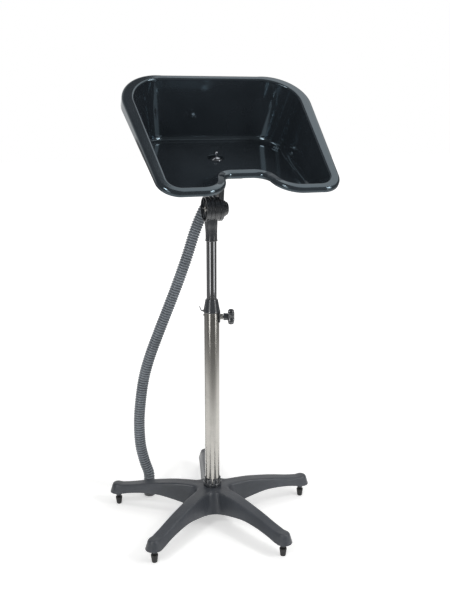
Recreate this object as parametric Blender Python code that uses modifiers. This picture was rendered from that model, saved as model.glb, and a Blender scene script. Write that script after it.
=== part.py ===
"""Portable shampoo basin: a tilting bowl on a telescopic column with a five-arm foot.

Metres, +Z up, the floor at z = 0. The person sits at -Y, where the bowl's rim dips for the neck,
and the bowl tilts about X. The origin is on the floor under the middle of the outline.
Run it with Blender, with --background --python, or from the text editor.
"""

from math import atan2, cos, degrees, pi, radians, sin, tan

import bmesh
import bpy
from mathutils import Matrix, Vector
from mathutils.geometry import interpolate_bezier

# Shared sizes
GAP = 0.0003
OVERRUN = 0.002
ROUND_STEPS = 24
SMALL_STEPS = 12
TINY_STEPS = 8
MERGE = 0.00001

# Column axis on the floor, from the middle of the outline
COLUMN_X = -0.018
COLUMN_Y = -0.008

# Star base
ARM_COUNT = 5
FIRST_ARM_AZIMUTH = radians(5.4)
BASE_WALL = 0.004
HUB_TOP = 0.086
HUB_RING_RADIUS = 0.030
ARM_TIP_CENTRE = 0.264
ARM_LENGTHS = (0.075, 0.105, 0.145, 0.185, 0.222, 0.252)
ARM_TOP_HEIGHTS = (0.0855, 0.0840, 0.0790, 0.0725, 0.0650, 0.0605)
ARM_SKIRT_HEIGHTS = (0.036, 0.043, 0.0498, 0.0495, 0.045, 0.038)
ARM_TIP_TOP = 0.0615
ARM_TIP_SKIRT = 0.0365
VALLEY_SKIRT = 0.032
SKIRT_HALF_HUB = 0.026
SKIRT_HALF_TIP = 0.021
SKIRT_FILLET = 0.016
TOP_HALF_HUB = 0.018
TOP_HALF_TIP = 0.0135
TOP_FILLET = 0.012
VALLEY_STEPS = 2
TIP_STEPS = 3
EDGE_DROP = 0.006
EDGE_SOFT_DROP = 0.0016
EDGE_INSET = 0.0035
RIB_THICKNESS = 0.003
RIB_LIFT = 0.005
RIB_END = 0.246
SOCKET_BOSS_RADIUS = 0.0265
SOCKET_BOSS_BOTTOM = 0.030
SOCKET_BOSS_FLOOR = 0.004

# Foot glides
GLIDE_INSET = 0.0014
GLIDE_CIRCLE = ARM_TIP_CENTRE - GLIDE_INSET
GLIDE_FOOT_RADIUS = 0.0058
GLIDE_CAP_RADIUS = 0.0088
GLIDE_SOLE_EDGE = 0.001
GLIDE_CAP_BAND = 0.0025
GLIDE_HEIGHT = 0.020
GLIDE_STEM_RADIUS = 0.004
GLIDE_STEM_TOP = 0.048
GLIDE_BOSS_RADIUS = 0.0078
GLIDE_BOSS_BOTTOM = 0.0265

# Outer tube and what holds it in the hub
TUBE_RADIUS = 0.019
TUBE_WALL = 0.0015
TUBE_TOP = 0.583
PLUG_HEIGHT = 0.040
BOLT_RADIUS = 0.005
BOLT_HEAD_RADIUS = 0.0085
BOLT_HEAD_HEIGHT = 0.0064
BOLT_REACH = 0.034
WASHER_RADIUS = 0.0125
WASHER_THICKNESS = 0.002

# Slotted ring at the foot of the tube
BASE_RING_RADIUS = 0.02375
BASE_RING_BAND = 0.0085
BASE_RING_HEIGHT = 0.0225
BASE_RING_FINGER_RADIUS = 0.0218
BASE_RING_TIP_WALL = 0.0012
BASE_RING_SLOTS = 4
BASE_RING_SLOT = 0.003

# Conical collar on top of the outer tube
COLLAR_DROP = 0.028
COLLAR_LIFT = 0.006
COLLAR_BOTTOM = TUBE_TOP - COLLAR_DROP
COLLAR_TOP = TUBE_TOP + COLLAR_LIFT
COLLAR_FLANGE_RADIUS = 0.0213
COLLAR_FLANGE_HEIGHT = 0.0035
COLLAR_CONE_RADIUS = 0.0206
COLLAR_TOP_RADIUS = 0.0156
COLLAR_EDGE = 0.0012
SLEEVE_DROP = 0.053
SLEEVE_BOTTOM = TUBE_TOP - SLEEVE_DROP
TONGUE_WIDTH = 0.018
TONGUE_THICKNESS = 0.0024
TONGUE_OVERLAP = 0.004
HOOK_RADIUS = 0.0019
HOOK_TIP_SHARE = 0.55
HOOK_ROOT_REACH = 0.0207
HOOK_LOW_REACH = 0.0243
HOOK_TIP_REACH = 0.0305
HOOK_ROOT_LIFT = 0.0055
HOOK_LOW_LIFT = 0.0025
HOOK_TIP_LIFT = 0.0155
HOOK_AZIMUTH = radians(162.0)
RIVET_DROP = 0.035
RIVET_HEAD_RADIUS = 0.0034
RIVET_HEAD_HEIGHT = 0.0022
RIVET_SHANK_RADIUS = 0.0016

# Clamp: nut, stud, knob and pad
CLAMP_DROP = 0.040
CLAMP_AZIMUTH = radians(-18.0)
NUT_HALF_FLATS = 0.0065
NUT_LENGTH = 0.0065
NUT_NECK_RADIUS = 0.0058
STUD_RADIUS = 0.0038
STUD_CLEARANCE = 0.0004
STUD_SINK = 0.016
PAD_RADIUS = 0.0042
PAD_THICKNESS = 0.003
KNOB_HUB_START = 0.0292
KNOB_HUB_RADIUS = 0.0093
KNOB_HUB_LENGTH = 0.0105
KNOB_HEAD_RADIUS = 0.0182
KNOB_LOBE_DEPTH = 0.0018
KNOB_LOBES = 6
KNOB_LOBE_STEPS = 5
KNOB_HEAD_LENGTH = 0.017
KNOB_RADIUS_SHARES = (0.46, 0.84, 0.98, 1.0, 0.86, 0.50)
KNOB_LENGTH_SHARES = (0.0, 0.08, 0.28, 0.62, 0.90, 1.0)

# Inner tube and its glide bush
MAST_RADIUS = 0.0125
MAST_WALL = 0.0015
MAST_BOTTOM = 0.245
BUSH_HEIGHT = 0.020
BUSH_STEM = 0.030
BUSH_BORE = 0.0055

# Tilt joint, along X from the column axis
TILT_HEIGHT = 0.812
DRUM_RADIUS = 0.031
DRUM_LEFT = -0.0185
DRUM_RIGHT = 0.007
DRUM_RIM = 0.0034
DRUM_EDGE = 0.0012
DRUM_WEB_LEFT = -0.0105
DRUM_WEB = 0.003
DRUM_HUB_RADIUS = 0.009
DRUM_HUB_LEFT = -0.0130
DRUM_SPOKES = 6
DRUM_SPOKE = 0.0022
DRUM_SPOKE_RECESS = 0.0022
GROOVE = 0.0012
GROOVE_DEPTH = 0.0009
DRUM_GROOVE_SHARES = (0.42, 0.80)
STEM_RADIUS = 0.0143
STEM_DROP = 0.078
STEM_BEAD = 0.0009
STEM_BEAD_HEIGHT = 0.003
MAST_INSERT = 0.045
STEM_RIB_RADIUS = 0.0016
STEM_RIB_SPREAD = 0.0056
STEM_RIB_TOP_DROP = 0.030
NECK_STEPS = 22
NECK_DROPS = (0.060, 0.048, 0.035, 0.022)
NECK_LEFT_SHARES = (1.0, 1.02, 1.05, 1.05)
NECK_RIGHT_SHARES = (1.0, 0.97, 0.93, 0.90)
NECK_DEPTH_SHARES = (1.0, 1.12, 1.34, 1.46)
NECK_SQUARENESS = 3.2
SET_SCREW_RADIUS = 0.002
SET_SCREW_HEAD = 0.0038
SET_SCREW_HEAD_HEIGHT = 0.0024
SET_SCREW_DROP = 0.064

# Pivot, lock gear, spring and release button
PIVOT_RADIUS = 0.004
PIVOT_CLEARANCE = 0.0003
PIVOT_HEAD_RADIUS = 0.0062
PIVOT_HEAD = 0.0034
PIVOT_SLOT = 0.0016
PIVOT_SLOT_DEPTH = 0.0014
PIVOT_NUT_HALF_FLATS = 0.0065
PIVOT_NUT = 0.005
GEAR_TEETH = 36
GEAR_ROOT_RADIUS = 0.0220
GEAR_TIP_RADIUS = 0.0240
GEAR_CLEARANCE = 0.00045
GEAR_WIDTH = 0.008
GEAR_ENGAGED = 0.0044
GEAR_POCKET_INNER = 0.0055
GEAR_POCKET_OUTER = 0.0098
GEAR_POCKET_DEPTH = 0.004
SPRING_RADIUS = 0.0076
SPRING_WIRE = 0.0006
SPRING_TURNS = 3
SPRING_TURN_STEPS = 8
BUTTON_RADIUS = 0.0165
BUTTON_TRAVEL = 0.005
BUTTON_OUT = 0.0407
BUTTON_EDGE = 0.0025
BUTTON_SKIN = 0.0022
BUTTON_CORE_RADIUS = 0.0085
PRONG_COUNT = 3
PRONG_RADIUS = 0.0026
PRONG_CIRCLE = 0.0130
PRONG_CLEARANCE = 0.0005

# Tilt bracket: knuckle, hub ring, arm and plate
KNUCKLE_GAP = 0.0004
KNUCKLE_RADIUS = 0.0300
KNUCKLE_CAVITY_END = 0.0150
KNUCKLE_RIGHT = 0.0250
HUB_RING_OUTER = 0.0198
HUB_RING_RIGHT = 0.0345
HUB_RING_CLEARANCE = 0.0004
ARM_LEFT = 0.0145
ARM_RIGHT = 0.0273
ARM_DEPTHS = (0.032, 0.025, 0.022, 0.028)
ARM_SHARES = (0.0, 0.38, 0.76, 1.0)
ARM_CORNER = 0.004
PLATE_WIDTH = 0.086
PLATE_LENGTH = 0.060
PLATE_THICKNESS = 0.005
PLATE_CORNER = 0.012
PLATE_BACK_SPACE = 0.028
GUSSET = 0.004
GUSSET_REACH = 0.028
GUSSET_DROP = 0.022

# Basin, in a frame with its X along the tilt axis, Y back in the rim plane and Z off that plane
BASIN_SHIFT = 0.0280
BASIN_TILT = radians(36.2)
BASIN_WALL = 0.0035
RIM_HEIGHT = 0.196
RIM_FRONT = -0.1355
RIM_BACK = 0.248
RIM_FRONT_HALF = 0.1840
RIM_BACK_HALF = 0.2110
RIM_FRONT_CORNER = 0.030
RIM_BACK_CORNER = 0.070
RECESS_DEPTH = 0.0825
RECESS_MOUTH_HALF = 0.080
RECESS_BASE_HALF = 0.0525
RECESS_BASE_CORNER = 0.035
RECESS_MOUTH_CORNER = 0.020
RECESS_DIP = 0.026
RIM_WIDTH_FRONT = 0.020
RIM_WIDTH_SIDE_FRONT = 0.0235
RIM_WIDTH_SIDE_BACK = 0.0295
RIM_WIDTH_BACK = 0.017
RIM_ROLL = 0.0072
SKIRT_FRONT = 0.011
SKIRT_SIDE_FRONT = 0.012
SKIRT_BACK = 0.031
INNER_ROLL = 0.0045
FLOOR_SLOPE = radians(18.2)
DRAIN_SIDE = -0.007
DRAIN_BACK = 0.0953
DRAIN_HEIGHT = 0.0777
FLOOR_FRONT = -0.106
FLOOR_BACK = 0.2145
FLOOR_FRONT_HALF = 0.163
FLOOR_BACK_HALF = 0.188
FLOOR_FRONT_CORNER = 0.024
FLOOR_BACK_CORNER = 0.056
FLOOR_RECESS_TOP = -0.024
FLOOR_RECESS_MOUTH_HALF = 0.103
FLOOR_RECESS_BASE_HALF = 0.074
FLOOR_RECESS_BASE_CORNER = 0.046
FLOOR_RECESS_MOUTH_CORNER = 0.021
FLOOR_FILLET = 0.016
ARC_STEPS = (5, 3, 4, 7)
LINE_STEPS = (1, 1, 1, 2, 2)
ROLL_STEPS = 2
FILLET_STEPS = 2
SEAT_RADIUS = 0.0202
SEAT_DEPTH = 0.002
SEAT_SLOPE = 0.001
SCREW_BOSS_RADIUS = 0.0066
SCREW_BOSS_DROP = 0.0095
SCREW_BOSS_SINK = 0.002
SCREW_SPAN_X = 0.062
SCREW_SPAN_Y = 0.038

# Bracket screws
SCREW_RADIUS = 0.002
SCREW_HEAD_RADIUS = 0.0044
SCREW_HEAD = 0.0028
SCREW_REACH = 0.0085
SCREW_CLEARANCE = 0.0003

# Drain, down the normal of the bowl's floor
FLANGE_RADIUS = 0.0184
FLANGE_RISE = 0.0008
FLANGE_BORE = 0.0105
FLANGE_NECK = 0.0136
FLANGE_NECK_END = 0.027
STRAINER_BARS = 2
STRAINER_BAR = 0.0022
STRAINER_DROP = 0.008
GASKET_RADIUS = 0.0205
GASKET_THICKNESS = 0.002
LOCKNUT_HALF_FLATS = 0.019
LOCKNUT_HEIGHT = 0.007
TAIL_SOCKET_RADIUS = 0.0168
TAIL_SOCKET_START = 0.0168
TAIL_SHOULDER = 0.029
TAIL_RADIUS = 0.0125
TAIL_BORE = 0.0100
TAIL_END = 0.050
HOSE_NUT_RADIUS = 0.0185
HOSE_NUT_START = 0.036
HOSE_NUT_END = 0.052
HOSE_NUT_GRIPS = 12
HOSE_NUT_GRIP_DEPTH = 0.0008
STOPPER_RADIUS = 0.0128
STOPPER_DISC = 0.0022
STOPPER_PLUG_RADIUS = 0.0092
STOPPER_PLUG = 0.006
STOPPER_STEM_RADIUS = 0.0026
STOPPER_KNOB_RADIUS = 0.0046
STOPPER_KNOB_HEIGHT = 0.0125

# Drain hose: route points from the column axis, chosen by hand
HOSE_RADIUS = 0.0150
HOSE_VALLEY_RADIUS = 0.0130
HOSE_BORE_RADIUS = 0.0108
HOSE_RIBS = 92
HOSE_SMOOTH_STEPS = 16
HOSE_BORE_POINTS = 46
HOSE_LEAD = 0.030
CUFF_RADIUS = 0.0160
CUFF_LENGTH = 0.026
CUFF_FLOOR_GAP = 0.001
HOSE_ROUTE = (
    (0.0150, 0.0640, 0.8250),
    (-0.0005, 0.0765, 0.7920),
    (-0.0165, 0.0865, 0.7480),
    (-0.0375, 0.0950, 0.6780),
    (-0.0600, 0.1065, 0.6080),
    (-0.0830, 0.1180, 0.5420),
    (-0.1055, 0.1290, 0.4790),
    (-0.1305, 0.1410, 0.4050),
    (-0.1465, 0.1490, 0.3410),
    (-0.1575, 0.1540, 0.2590),
    (-0.1600, 0.1565, 0.2040),
    (-0.1570, 0.1580, 0.1480),
    (-0.1470, 0.1580, 0.1000),
)
HOSE_END_X = -0.1360
HOSE_END_Y = 0.1565


def clear_scene():
    """Remove every object that the scene starts with."""
    for obj in list(bpy.data.objects):
        bpy.data.objects.remove(obj, do_unlink=True)


def make_collection(name):
    """Return a new collection linked to the scene."""
    collection = bpy.data.collections.new(name)
    bpy.context.scene.collection.children.link(collection)
    return collection


clear_scene()
PARTS = make_collection("portable_shampoo_basin")
CUTTERS = make_collection("cutters")


def make_material(name, colour, roughness, metallic=0.0):
    """Return a Principled material of this colour."""
    material = bpy.data.materials.new(name)
    material.use_nodes = True
    shader = material.node_tree.nodes["Principled BSDF"]
    shader.inputs["Base Color"].default_value = (*colour, 1.0)
    shader.inputs["Roughness"].default_value = roughness
    shader.inputs["Metallic"].default_value = metallic
    material.diffuse_color = (*colour, 1.0)
    return material


GLOSS_BLACK = make_material("gloss_black_plastic", (0.012, 0.013, 0.015), 0.12)
SATIN_BLACK = make_material("satin_black_plastic", (0.015, 0.015, 0.017), 0.35)
BASE_GREY = make_material("matte_slate_plastic", (0.060, 0.065, 0.080), 0.55)
HOSE_GREY = make_material("grey_hose_plastic", (0.105, 0.125, 0.150), 0.40)
RUBBER = make_material("black_rubber", (0.010, 0.010, 0.010), 0.75)
STEEL = make_material("satin_steel", (0.520, 0.500, 0.460), 0.22, 1.0)
CHROME = make_material("chrome", (0.600, 0.610, 0.620), 0.08, 1.0)
NYLON = make_material("natural_nylon", (0.620, 0.600, 0.540), 0.50)


def make_empty(name, parent, location=(0, 0, 0), turn=(0, 0, 0)):
    """Return an empty that carries other objects."""
    empty = bpy.data.objects.new(name, None)
    empty.location = location
    empty.rotation_euler = turn
    empty.parent = parent
    PARTS.objects.link(empty)
    return empty


def place(name, mesh, parent, material, location=(0, 0, 0), turn=(0, 0, 0)):
    """Return a new object for a mesh, shaded smooth between its sharp edges."""
    obj = bpy.data.objects.new(name, mesh)
    obj.location = location
    obj.rotation_euler = turn
    obj.parent = parent
    mesh.materials.append(material)
    mesh.shade_smooth()
    mesh.set_sharp_from_angle(angle=radians(32))
    PARTS.objects.link(obj)
    return obj


def mesh_from(bm, name):
    """Return a mesh with the contents of a bmesh, which is freed."""
    mesh = bpy.data.meshes.new(name)
    bm.to_mesh(mesh)
    bm.free()
    return mesh


def box_mesh(name, size, centre=(0, 0, 0)):
    """Return a box."""
    bm = bmesh.new()
    bmesh.ops.create_cube(bm, size=1.0)
    bmesh.ops.scale(bm, vec=size, verts=bm.verts)
    bmesh.ops.translate(bm, vec=centre, verts=bm.verts)
    return mesh_from(bm, name)


def rod_mesh(name, radius, start, end, steps=SMALL_STEPS):
    """Return a solid rod along Z between two heights."""
    bm = bmesh.new()
    bmesh.ops.create_cone(
        bm,
        cap_ends=True,
        segments=steps,
        radius1=radius,
        radius2=radius,
        depth=end - start,
    )
    bmesh.ops.translate(bm, vec=(0, 0, (start + end) / 2), verts=bm.verts)
    return mesh_from(bm, name)


def turned(name, profile, parent, material, steps=ROUND_STEPS, solid=False, **where):
    """Return a body turned about Z from (radius, height) points.

    The points run down the outer side. A ring's profile closes on itself, and a solid's
    starts and ends on the axis.
    """
    mesh = bpy.data.meshes.new(name)
    edges = [(i, i + 1) for i in range(len(profile) - 1)]
    if not solid:
        edges.append((len(profile) - 1, 0))
    mesh.from_pydata([(r, 0, z) for r, z in profile], edges, [])
    obj = place(name, mesh, parent, material, **where)
    screw = obj.modifiers.new("turn", "SCREW")
    screw.axis = "Z"
    screw.steps = steps
    screw.render_steps = steps
    screw.use_merge_vertices = True
    screw.merge_threshold = MERGE
    return obj


def ring_band(bm, lower, upper):
    """Add the faces between two closed rings, leaving out what has no area."""
    count = len(lower)
    for i in range(count):
        corners = [lower[i], lower[(i + 1) % count], upper[(i + 1) % count], upper[i]]
        corners = [v for k, v in enumerate(corners) if v not in corners[:k]]
        if len(corners) > 2:
            bm.faces.new(corners)


def loft_mesh(name, rings):
    """Return a closed body through rings of as many points each, capped at both ends."""
    bm = bmesh.new()
    rows = [[bm.verts.new(p) for p in ring] for ring in rings]
    for lower, upper in zip(rows, rows[1:]):
        ring_band(bm, lower, upper)
    bm.faces.new(list(reversed(rows[0])))
    bm.faces.new(rows[-1])
    return mesh_from(bm, name)


def prism_mesh(name, outline, bottom, top):
    """Return an upright prism over a counter-clockwise outline."""
    rings = [[(x, y, z) for x, y in outline] for z in (bottom, top)]
    return loft_mesh(name, rings)


def combine(target, tool, operation):
    """Cut a tool out of the target, or join it on, and put the tool away."""
    modifier = target.modifiers.new(tool.name, "BOOLEAN")
    modifier.operation = operation
    modifier.object = tool
    modifier.solver = "EXACT"
    tool.hide_render = True
    tool.display_type = "WIRE"
    if tool.name in PARTS.objects:
        PARTS.objects.unlink(tool)
        CUTTERS.objects.link(tool)


def cut(target, tool):
    """Take the tool's shape out of the target."""
    combine(target, tool, "DIFFERENCE")


def join(target, tool):
    """Fuse the tool's shape to the target."""
    combine(target, tool, "UNION")


def polygon(sides, half_flats):
    """Return the corners of a regular polygon with this half width across its flats."""
    radius = half_flats / cos(pi / sides)
    angles = [pi / sides * (2 * i + 1) for i in range(sides)]
    return [(radius * cos(a), radius * sin(a)) for a in angles]


def tube_curve(name, points, radius, radii=None, resolution=2):
    """Return a curve tube along points, with its caps filled."""
    curve = bpy.data.curves.new(name, "CURVE")
    curve.dimensions = "3D"
    curve.bevel_depth = radius
    curve.bevel_resolution = resolution
    curve.use_fill_caps = True
    spline = curve.splines.new("POLY")
    spline.points.add(len(points) - 1)
    for i, point in enumerate(points):
        spline.points[i].co = (*point, 1.0)
        spline.points[i].radius = radii[i] if radii else 1.0
    return bpy.data.objects.new(name, curve)


def mesh_of_curve(curve_object):
    """Return a closed mesh of a curve tube, which is removed."""
    PARTS.objects.link(curve_object)
    graph = bpy.context.evaluated_depsgraph_get()
    graph.update()
    mesh = bpy.data.meshes.new_from_object(curve_object.evaluated_get(graph))
    bm = bmesh.new()
    bm.from_mesh(mesh)
    bmesh.ops.remove_doubles(bm, verts=bm.verts, dist=MERGE)
    bmesh.ops.recalc_face_normals(bm, faces=bm.faces)
    bm.to_mesh(mesh)
    bm.free()
    bpy.data.objects.remove(curve_object, do_unlink=True)
    return mesh


def along(value, low, high, at_low, at_high):
    """Return the value's place between low and high, read off between two ends."""
    share = min(max((value - low) / (high - low), 0.0), 1.0)
    return at_low + share * (at_high - at_low)


def rounded_outline(corners, radii, arc_steps, line_steps):
    """Return (points, outward normals) round a counter-clockwise outline with arcs for corners.

    line_steps[i] is the number of steps on the line that leads to corner i.
    """
    count = len(corners)
    arcs = []
    for i in range(count):
        before, here, after = (Vector(corners[(i + k) % count]) for k in (-1, 0, 1))
        come = (here - before).normalized()
        go = (after - here).normalized()
        turn = atan2(come.x * go.y - come.y * go.x, come.dot(go))
        reach = radii[i] * tan(abs(turn) / 2)
        start = here - come * reach
        outward = Vector((come.y, -come.x))
        side = 1 if turn > 0 else -1
        centre = start - outward * radii[i] * side
        arc = []
        for k in range(arc_steps[i] + 1):
            normal = Matrix.Rotation(turn * k / arc_steps[i], 2) @ outward
            arc.append((centre + normal * radii[i] * side, normal))
        arcs.append(arc)
    points = []
    for i in range(count):
        last, normal = arcs[i - 1][-1]
        first = arcs[i][0][0]
        for k in range(1, line_steps[i]):
            points.append((last.lerp(first, k / line_steps[i]), normal))
        points += arcs[i]
    return points


def valley_arc(half_width, fillet):
    """Return the points from the valley between two arms to an arm's straight side."""
    half_angle = pi / ARM_COUNT
    centre = (half_width + fillet) / sin(half_angle)
    centre = Vector((centre * cos(half_angle), centre * sin(half_angle)))
    points = []
    for k in range(VALLEY_STEPS + 1):
        angle = along(k, 0, VALLEY_STEPS, pi + half_angle, 1.5 * pi)
        points.append(centre + Vector((cos(angle), sin(angle))) * fillet)
    return points


def arm_side(half_hub, half_tip, fillet):
    """Return an arm's outline from the valley on its left side to its tip, as (x, y)."""
    points = valley_arc(half_hub, fillet)
    for length in ARM_LENGTHS:
        points.append(Vector((length, along(length, 0, ARM_LENGTHS[-1], half_hub, half_tip))))
    for k in range(TIP_STEPS + 1):
        angle = pi / 2 * (1 - k / TIP_STEPS)
        points.append(Vector((ARM_TIP_CENTRE + half_tip * cos(angle), half_tip * sin(angle))))
    return points


def arm_heights(valley, lengths, tip):
    """Return a height for each of the points of arm_side."""
    return [valley] * (VALLEY_STEPS + 1) + list(lengths) + [tip] * (TIP_STEPS + 1)


def round_the_star(side, heights):
    """Return the whole closed ring made from one arm's half, arm after arm."""
    left = [Vector((p.x, p.y, z)) for p, z in zip(side, heights)]
    right = [Vector((p.x, -p.y, p.z)) for p in left]
    arm = right[:-1] + left[:0:-1]
    ring = []
    for k in range(ARM_COUNT):
        turn = Matrix.Rotation(2 * pi * k / ARM_COUNT, 3, "Z")
        ring += [turn @ p for p in arm]
    return ring


def star_rings():
    """Return the rings of the base's skin, from its lower edge to the spines of its arms."""
    top = arm_heights(HUB_TOP, ARM_TOP_HEIGHTS, ARM_TIP_TOP)
    skirt = arm_heights(VALLEY_SKIRT, ARM_SKIRT_HEIGHTS, ARM_TIP_SKIRT)
    outer = arm_side(SKIRT_HALF_HUB, SKIRT_HALF_TIP, SKIRT_FILLET)
    upper = arm_side(TOP_HALF_HUB, TOP_HALF_TIP, TOP_FILLET)
    flat = arm_side(TOP_HALF_HUB - EDGE_INSET, TOP_HALF_TIP - EDGE_INSET, TOP_FILLET)
    spine = []
    for k, point in enumerate(flat):
        length = min(max(point.x, HUB_RING_RADIUS), ARM_TIP_CENTRE)
        angle = pi / ARM_COUNT * max(0.0, 1 - k / (VALLEY_STEPS + 1))
        radius = HUB_RING_RADIUS if k <= VALLEY_STEPS else length
        spine.append(Vector((radius * cos(angle), radius * sin(angle))))
    drop = [z - EDGE_DROP for z in top]
    shoulder = [
        low.lerp(high, (z - s - EDGE_DROP) / (z - s))
        for low, high, z, s in zip(outer, upper, top, skirt)
    ]
    soft = [z - EDGE_SOFT_DROP for z in top]
    rings = [
        round_the_star(outer, skirt),
        round_the_star(shoulder, drop),
        round_the_star(upper, soft),
        round_the_star(flat, top),
        round_the_star(spine, top),
    ]
    return rings


def star_skin_mesh():
    """Return the open skin of the base, with a hole round the column."""
    bm = bmesh.new()
    rows = []
    for ring in star_rings():
        row, known = [], {}
        for point in ring:
            key = tuple(round(c / MERGE) for c in point)
            if key not in known:
                known[key] = bm.verts.new(point)
            row.append(known[key])
        rows.append(row)
    for lower, upper in zip(rows, rows[1:]):
        ring_band(bm, lower, upper)
    hub, seen = [], set()
    for vertex in rows[-1]:
        on_ring = vertex.co.xy.length < HUB_RING_RADIUS + MERGE
        if on_ring and vertex not in seen:
            hub.append(vertex)
            seen.add(vertex)
    share = (TUBE_RADIUS + 2 * GAP) / HUB_RING_RADIUS
    hole = [bm.verts.new((v.co.x * share, v.co.y * share, v.co.z)) for v in hub]
    ring_band(bm, hub, hole)
    return mesh_from(bm, "star_base")


def make_rib(index):
    """Return the web under one arm."""
    lengths = [SOCKET_BOSS_RADIUS - OVERRUN, *ARM_LENGTHS[:-1], RIB_END]
    lows = [VALLEY_SKIRT, *ARM_SKIRT_HEIGHTS[:-1], ARM_TIP_SKIRT]
    highs = [HUB_TOP, *ARM_TOP_HEIGHTS[:-1], ARM_TOP_HEIGHTS[-1]]
    outline = [(r, z + RIB_LIFT) for r, z in zip(lengths, lows)]
    outline += [(r, z - BASE_WALL / 2) for r, z in zip(lengths[::-1], highs[::-1])]
    half = RIB_THICKNESS / 2
    rings = [[(r, y, z) for r, z in outline] for y in (half, -half)]
    turn = (0, 0, 2 * pi * index / ARM_COUNT)
    return place(f"rib_{index}", loft_mesh("rib", rings), BASE, BASE_GREY, turn=turn)


def make_star_base():
    """Five-arm foot: a hollow moulding with a web and a glide boss under each arm."""
    base = place("star_base", star_skin_mesh(), BASE, BASE_GREY)
    shell = base.modifiers.new("wall", "SOLIDIFY")
    shell.thickness = BASE_WALL
    shell.offset = -1
    shell.use_even_offset = True
    bore = TUBE_RADIUS + GAP
    floor = SOCKET_BOSS_BOTTOM + SOCKET_BOSS_FLOOR
    profile = [
        (SOCKET_BOSS_RADIUS, HUB_TOP - BASE_WALL / 2),
        (SOCKET_BOSS_RADIUS, SOCKET_BOSS_BOTTOM),
        (BOLT_RADIUS + GAP, SOCKET_BOSS_BOTTOM),
        (BOLT_RADIUS + GAP, floor),
        (bore, floor),
        (bore, HUB_TOP - BASE_WALL / 2),
    ]
    join(base, turned("hub_boss", profile, BASE, BASE_GREY))
    for k in range(ARM_COUNT):
        join(base, make_rib(k))
        azimuth = 2 * pi * k / ARM_COUNT
        where = (GLIDE_CIRCLE * cos(azimuth), GLIDE_CIRCLE * sin(azimuth), 0)
        boss = rod_mesh(
            "boss", GLIDE_BOSS_RADIUS, GLIDE_BOSS_BOTTOM, ARM_TIP_TOP - BASE_WALL / 2
        )
        join(base, place(f"glide_boss_{k}", boss, BASE, BASE_GREY, location=where))
    for k in range(ARM_COUNT):
        azimuth = 2 * pi * k / ARM_COUNT
        where = (GLIDE_CIRCLE * cos(azimuth), GLIDE_CIRCLE * sin(azimuth), 0)
        hole = rod_mesh(
            "hole",
            GLIDE_STEM_RADIUS + GAP,
            GLIDE_BOSS_BOTTOM - OVERRUN,
            GLIDE_STEM_TOP + GAP,
        )
        cut(base, place(f"glide_hole_{k}", hole, BASE, BASE_GREY, location=where))
    return base


def make_glides():
    """Five foot glides with a stem pressed into the arm tips."""
    profile = [
        (0, GLIDE_STEM_TOP),
        (GLIDE_STEM_RADIUS, GLIDE_STEM_TOP),
        (GLIDE_STEM_RADIUS, GLIDE_HEIGHT),
        (GLIDE_CAP_RADIUS, GLIDE_HEIGHT),
        (GLIDE_CAP_RADIUS, GLIDE_HEIGHT - GLIDE_CAP_BAND),
        (GLIDE_FOOT_RADIUS + GLIDE_SOLE_EDGE, GLIDE_SOLE_EDGE),
        (GLIDE_FOOT_RADIUS, 0),
        (0, 0),
    ]
    for k in range(ARM_COUNT):
        azimuth = 2 * pi * k / ARM_COUNT
        where = (GLIDE_CIRCLE * cos(azimuth), GLIDE_CIRCLE * sin(azimuth), 0)
        turned(
            f"foot_glide_{k + 1}",
            profile,
            BASE,
            RUBBER,
            SMALL_STEPS,
            solid=True,
            location=where,
        )


def make_base_ring():
    """Slotted ring round the foot of the outer tube."""
    bottom = HUB_TOP + GAP
    band = bottom + BASE_RING_BAND
    top = bottom + BASE_RING_HEIGHT
    bore = TUBE_RADIUS + GAP
    profile = [
        (bore + BASE_RING_TIP_WALL, top),
        (BASE_RING_FINGER_RADIUS, top - BASE_RING_TIP_WALL),
        (BASE_RING_FINGER_RADIUS, band + BASE_RING_TIP_WALL),
        (BASE_RING_RADIUS, band),
        (BASE_RING_RADIUS, bottom),
        (bore, bottom),
        (bore, top),
    ]
    ring = turned("base_ring", profile, BASE, SATIN_BLACK)
    for k in range(BASE_RING_SLOTS):
        size = (3 * BASE_RING_RADIUS, BASE_RING_SLOT, BASE_RING_HEIGHT)
        centre = (0, 0, band + BASE_RING_TIP_WALL + BASE_RING_HEIGHT / 2)
        bar = box_mesh("slot", size, centre)
        turn = (0, 0, pi * (k + 0.5) / BASE_RING_SLOTS)
        cut(ring, place(f"ring_slot_{k}", bar, BASE, SATIN_BLACK, turn=turn))


def make_outer_tube():
    """Outer tube with the holes for the clamp nut and the rivet."""
    bottom = SOCKET_BOSS_BOTTOM + SOCKET_BOSS_FLOOR + GAP
    bore = TUBE_RADIUS - TUBE_WALL
    profile = [(TUBE_RADIUS, TUBE_TOP), (TUBE_RADIUS, bottom), (bore, bottom), (bore, TUBE_TOP)]
    tube = turned("outer_tube", profile, STAND, STEEL)
    hole = rod_mesh("hole", NUT_NECK_RADIUS + GAP, 0, 2 * TUBE_RADIUS)
    cut(tube, place("nut_hole", hole, CLAMP, STEEL))
    hole = rod_mesh("hole", RIVET_SHANK_RADIUS + GAP, 0, 2 * TUBE_RADIUS, TINY_STEPS)
    cut(tube, place("rivet_hole", hole, RIVET, STEEL))


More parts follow.
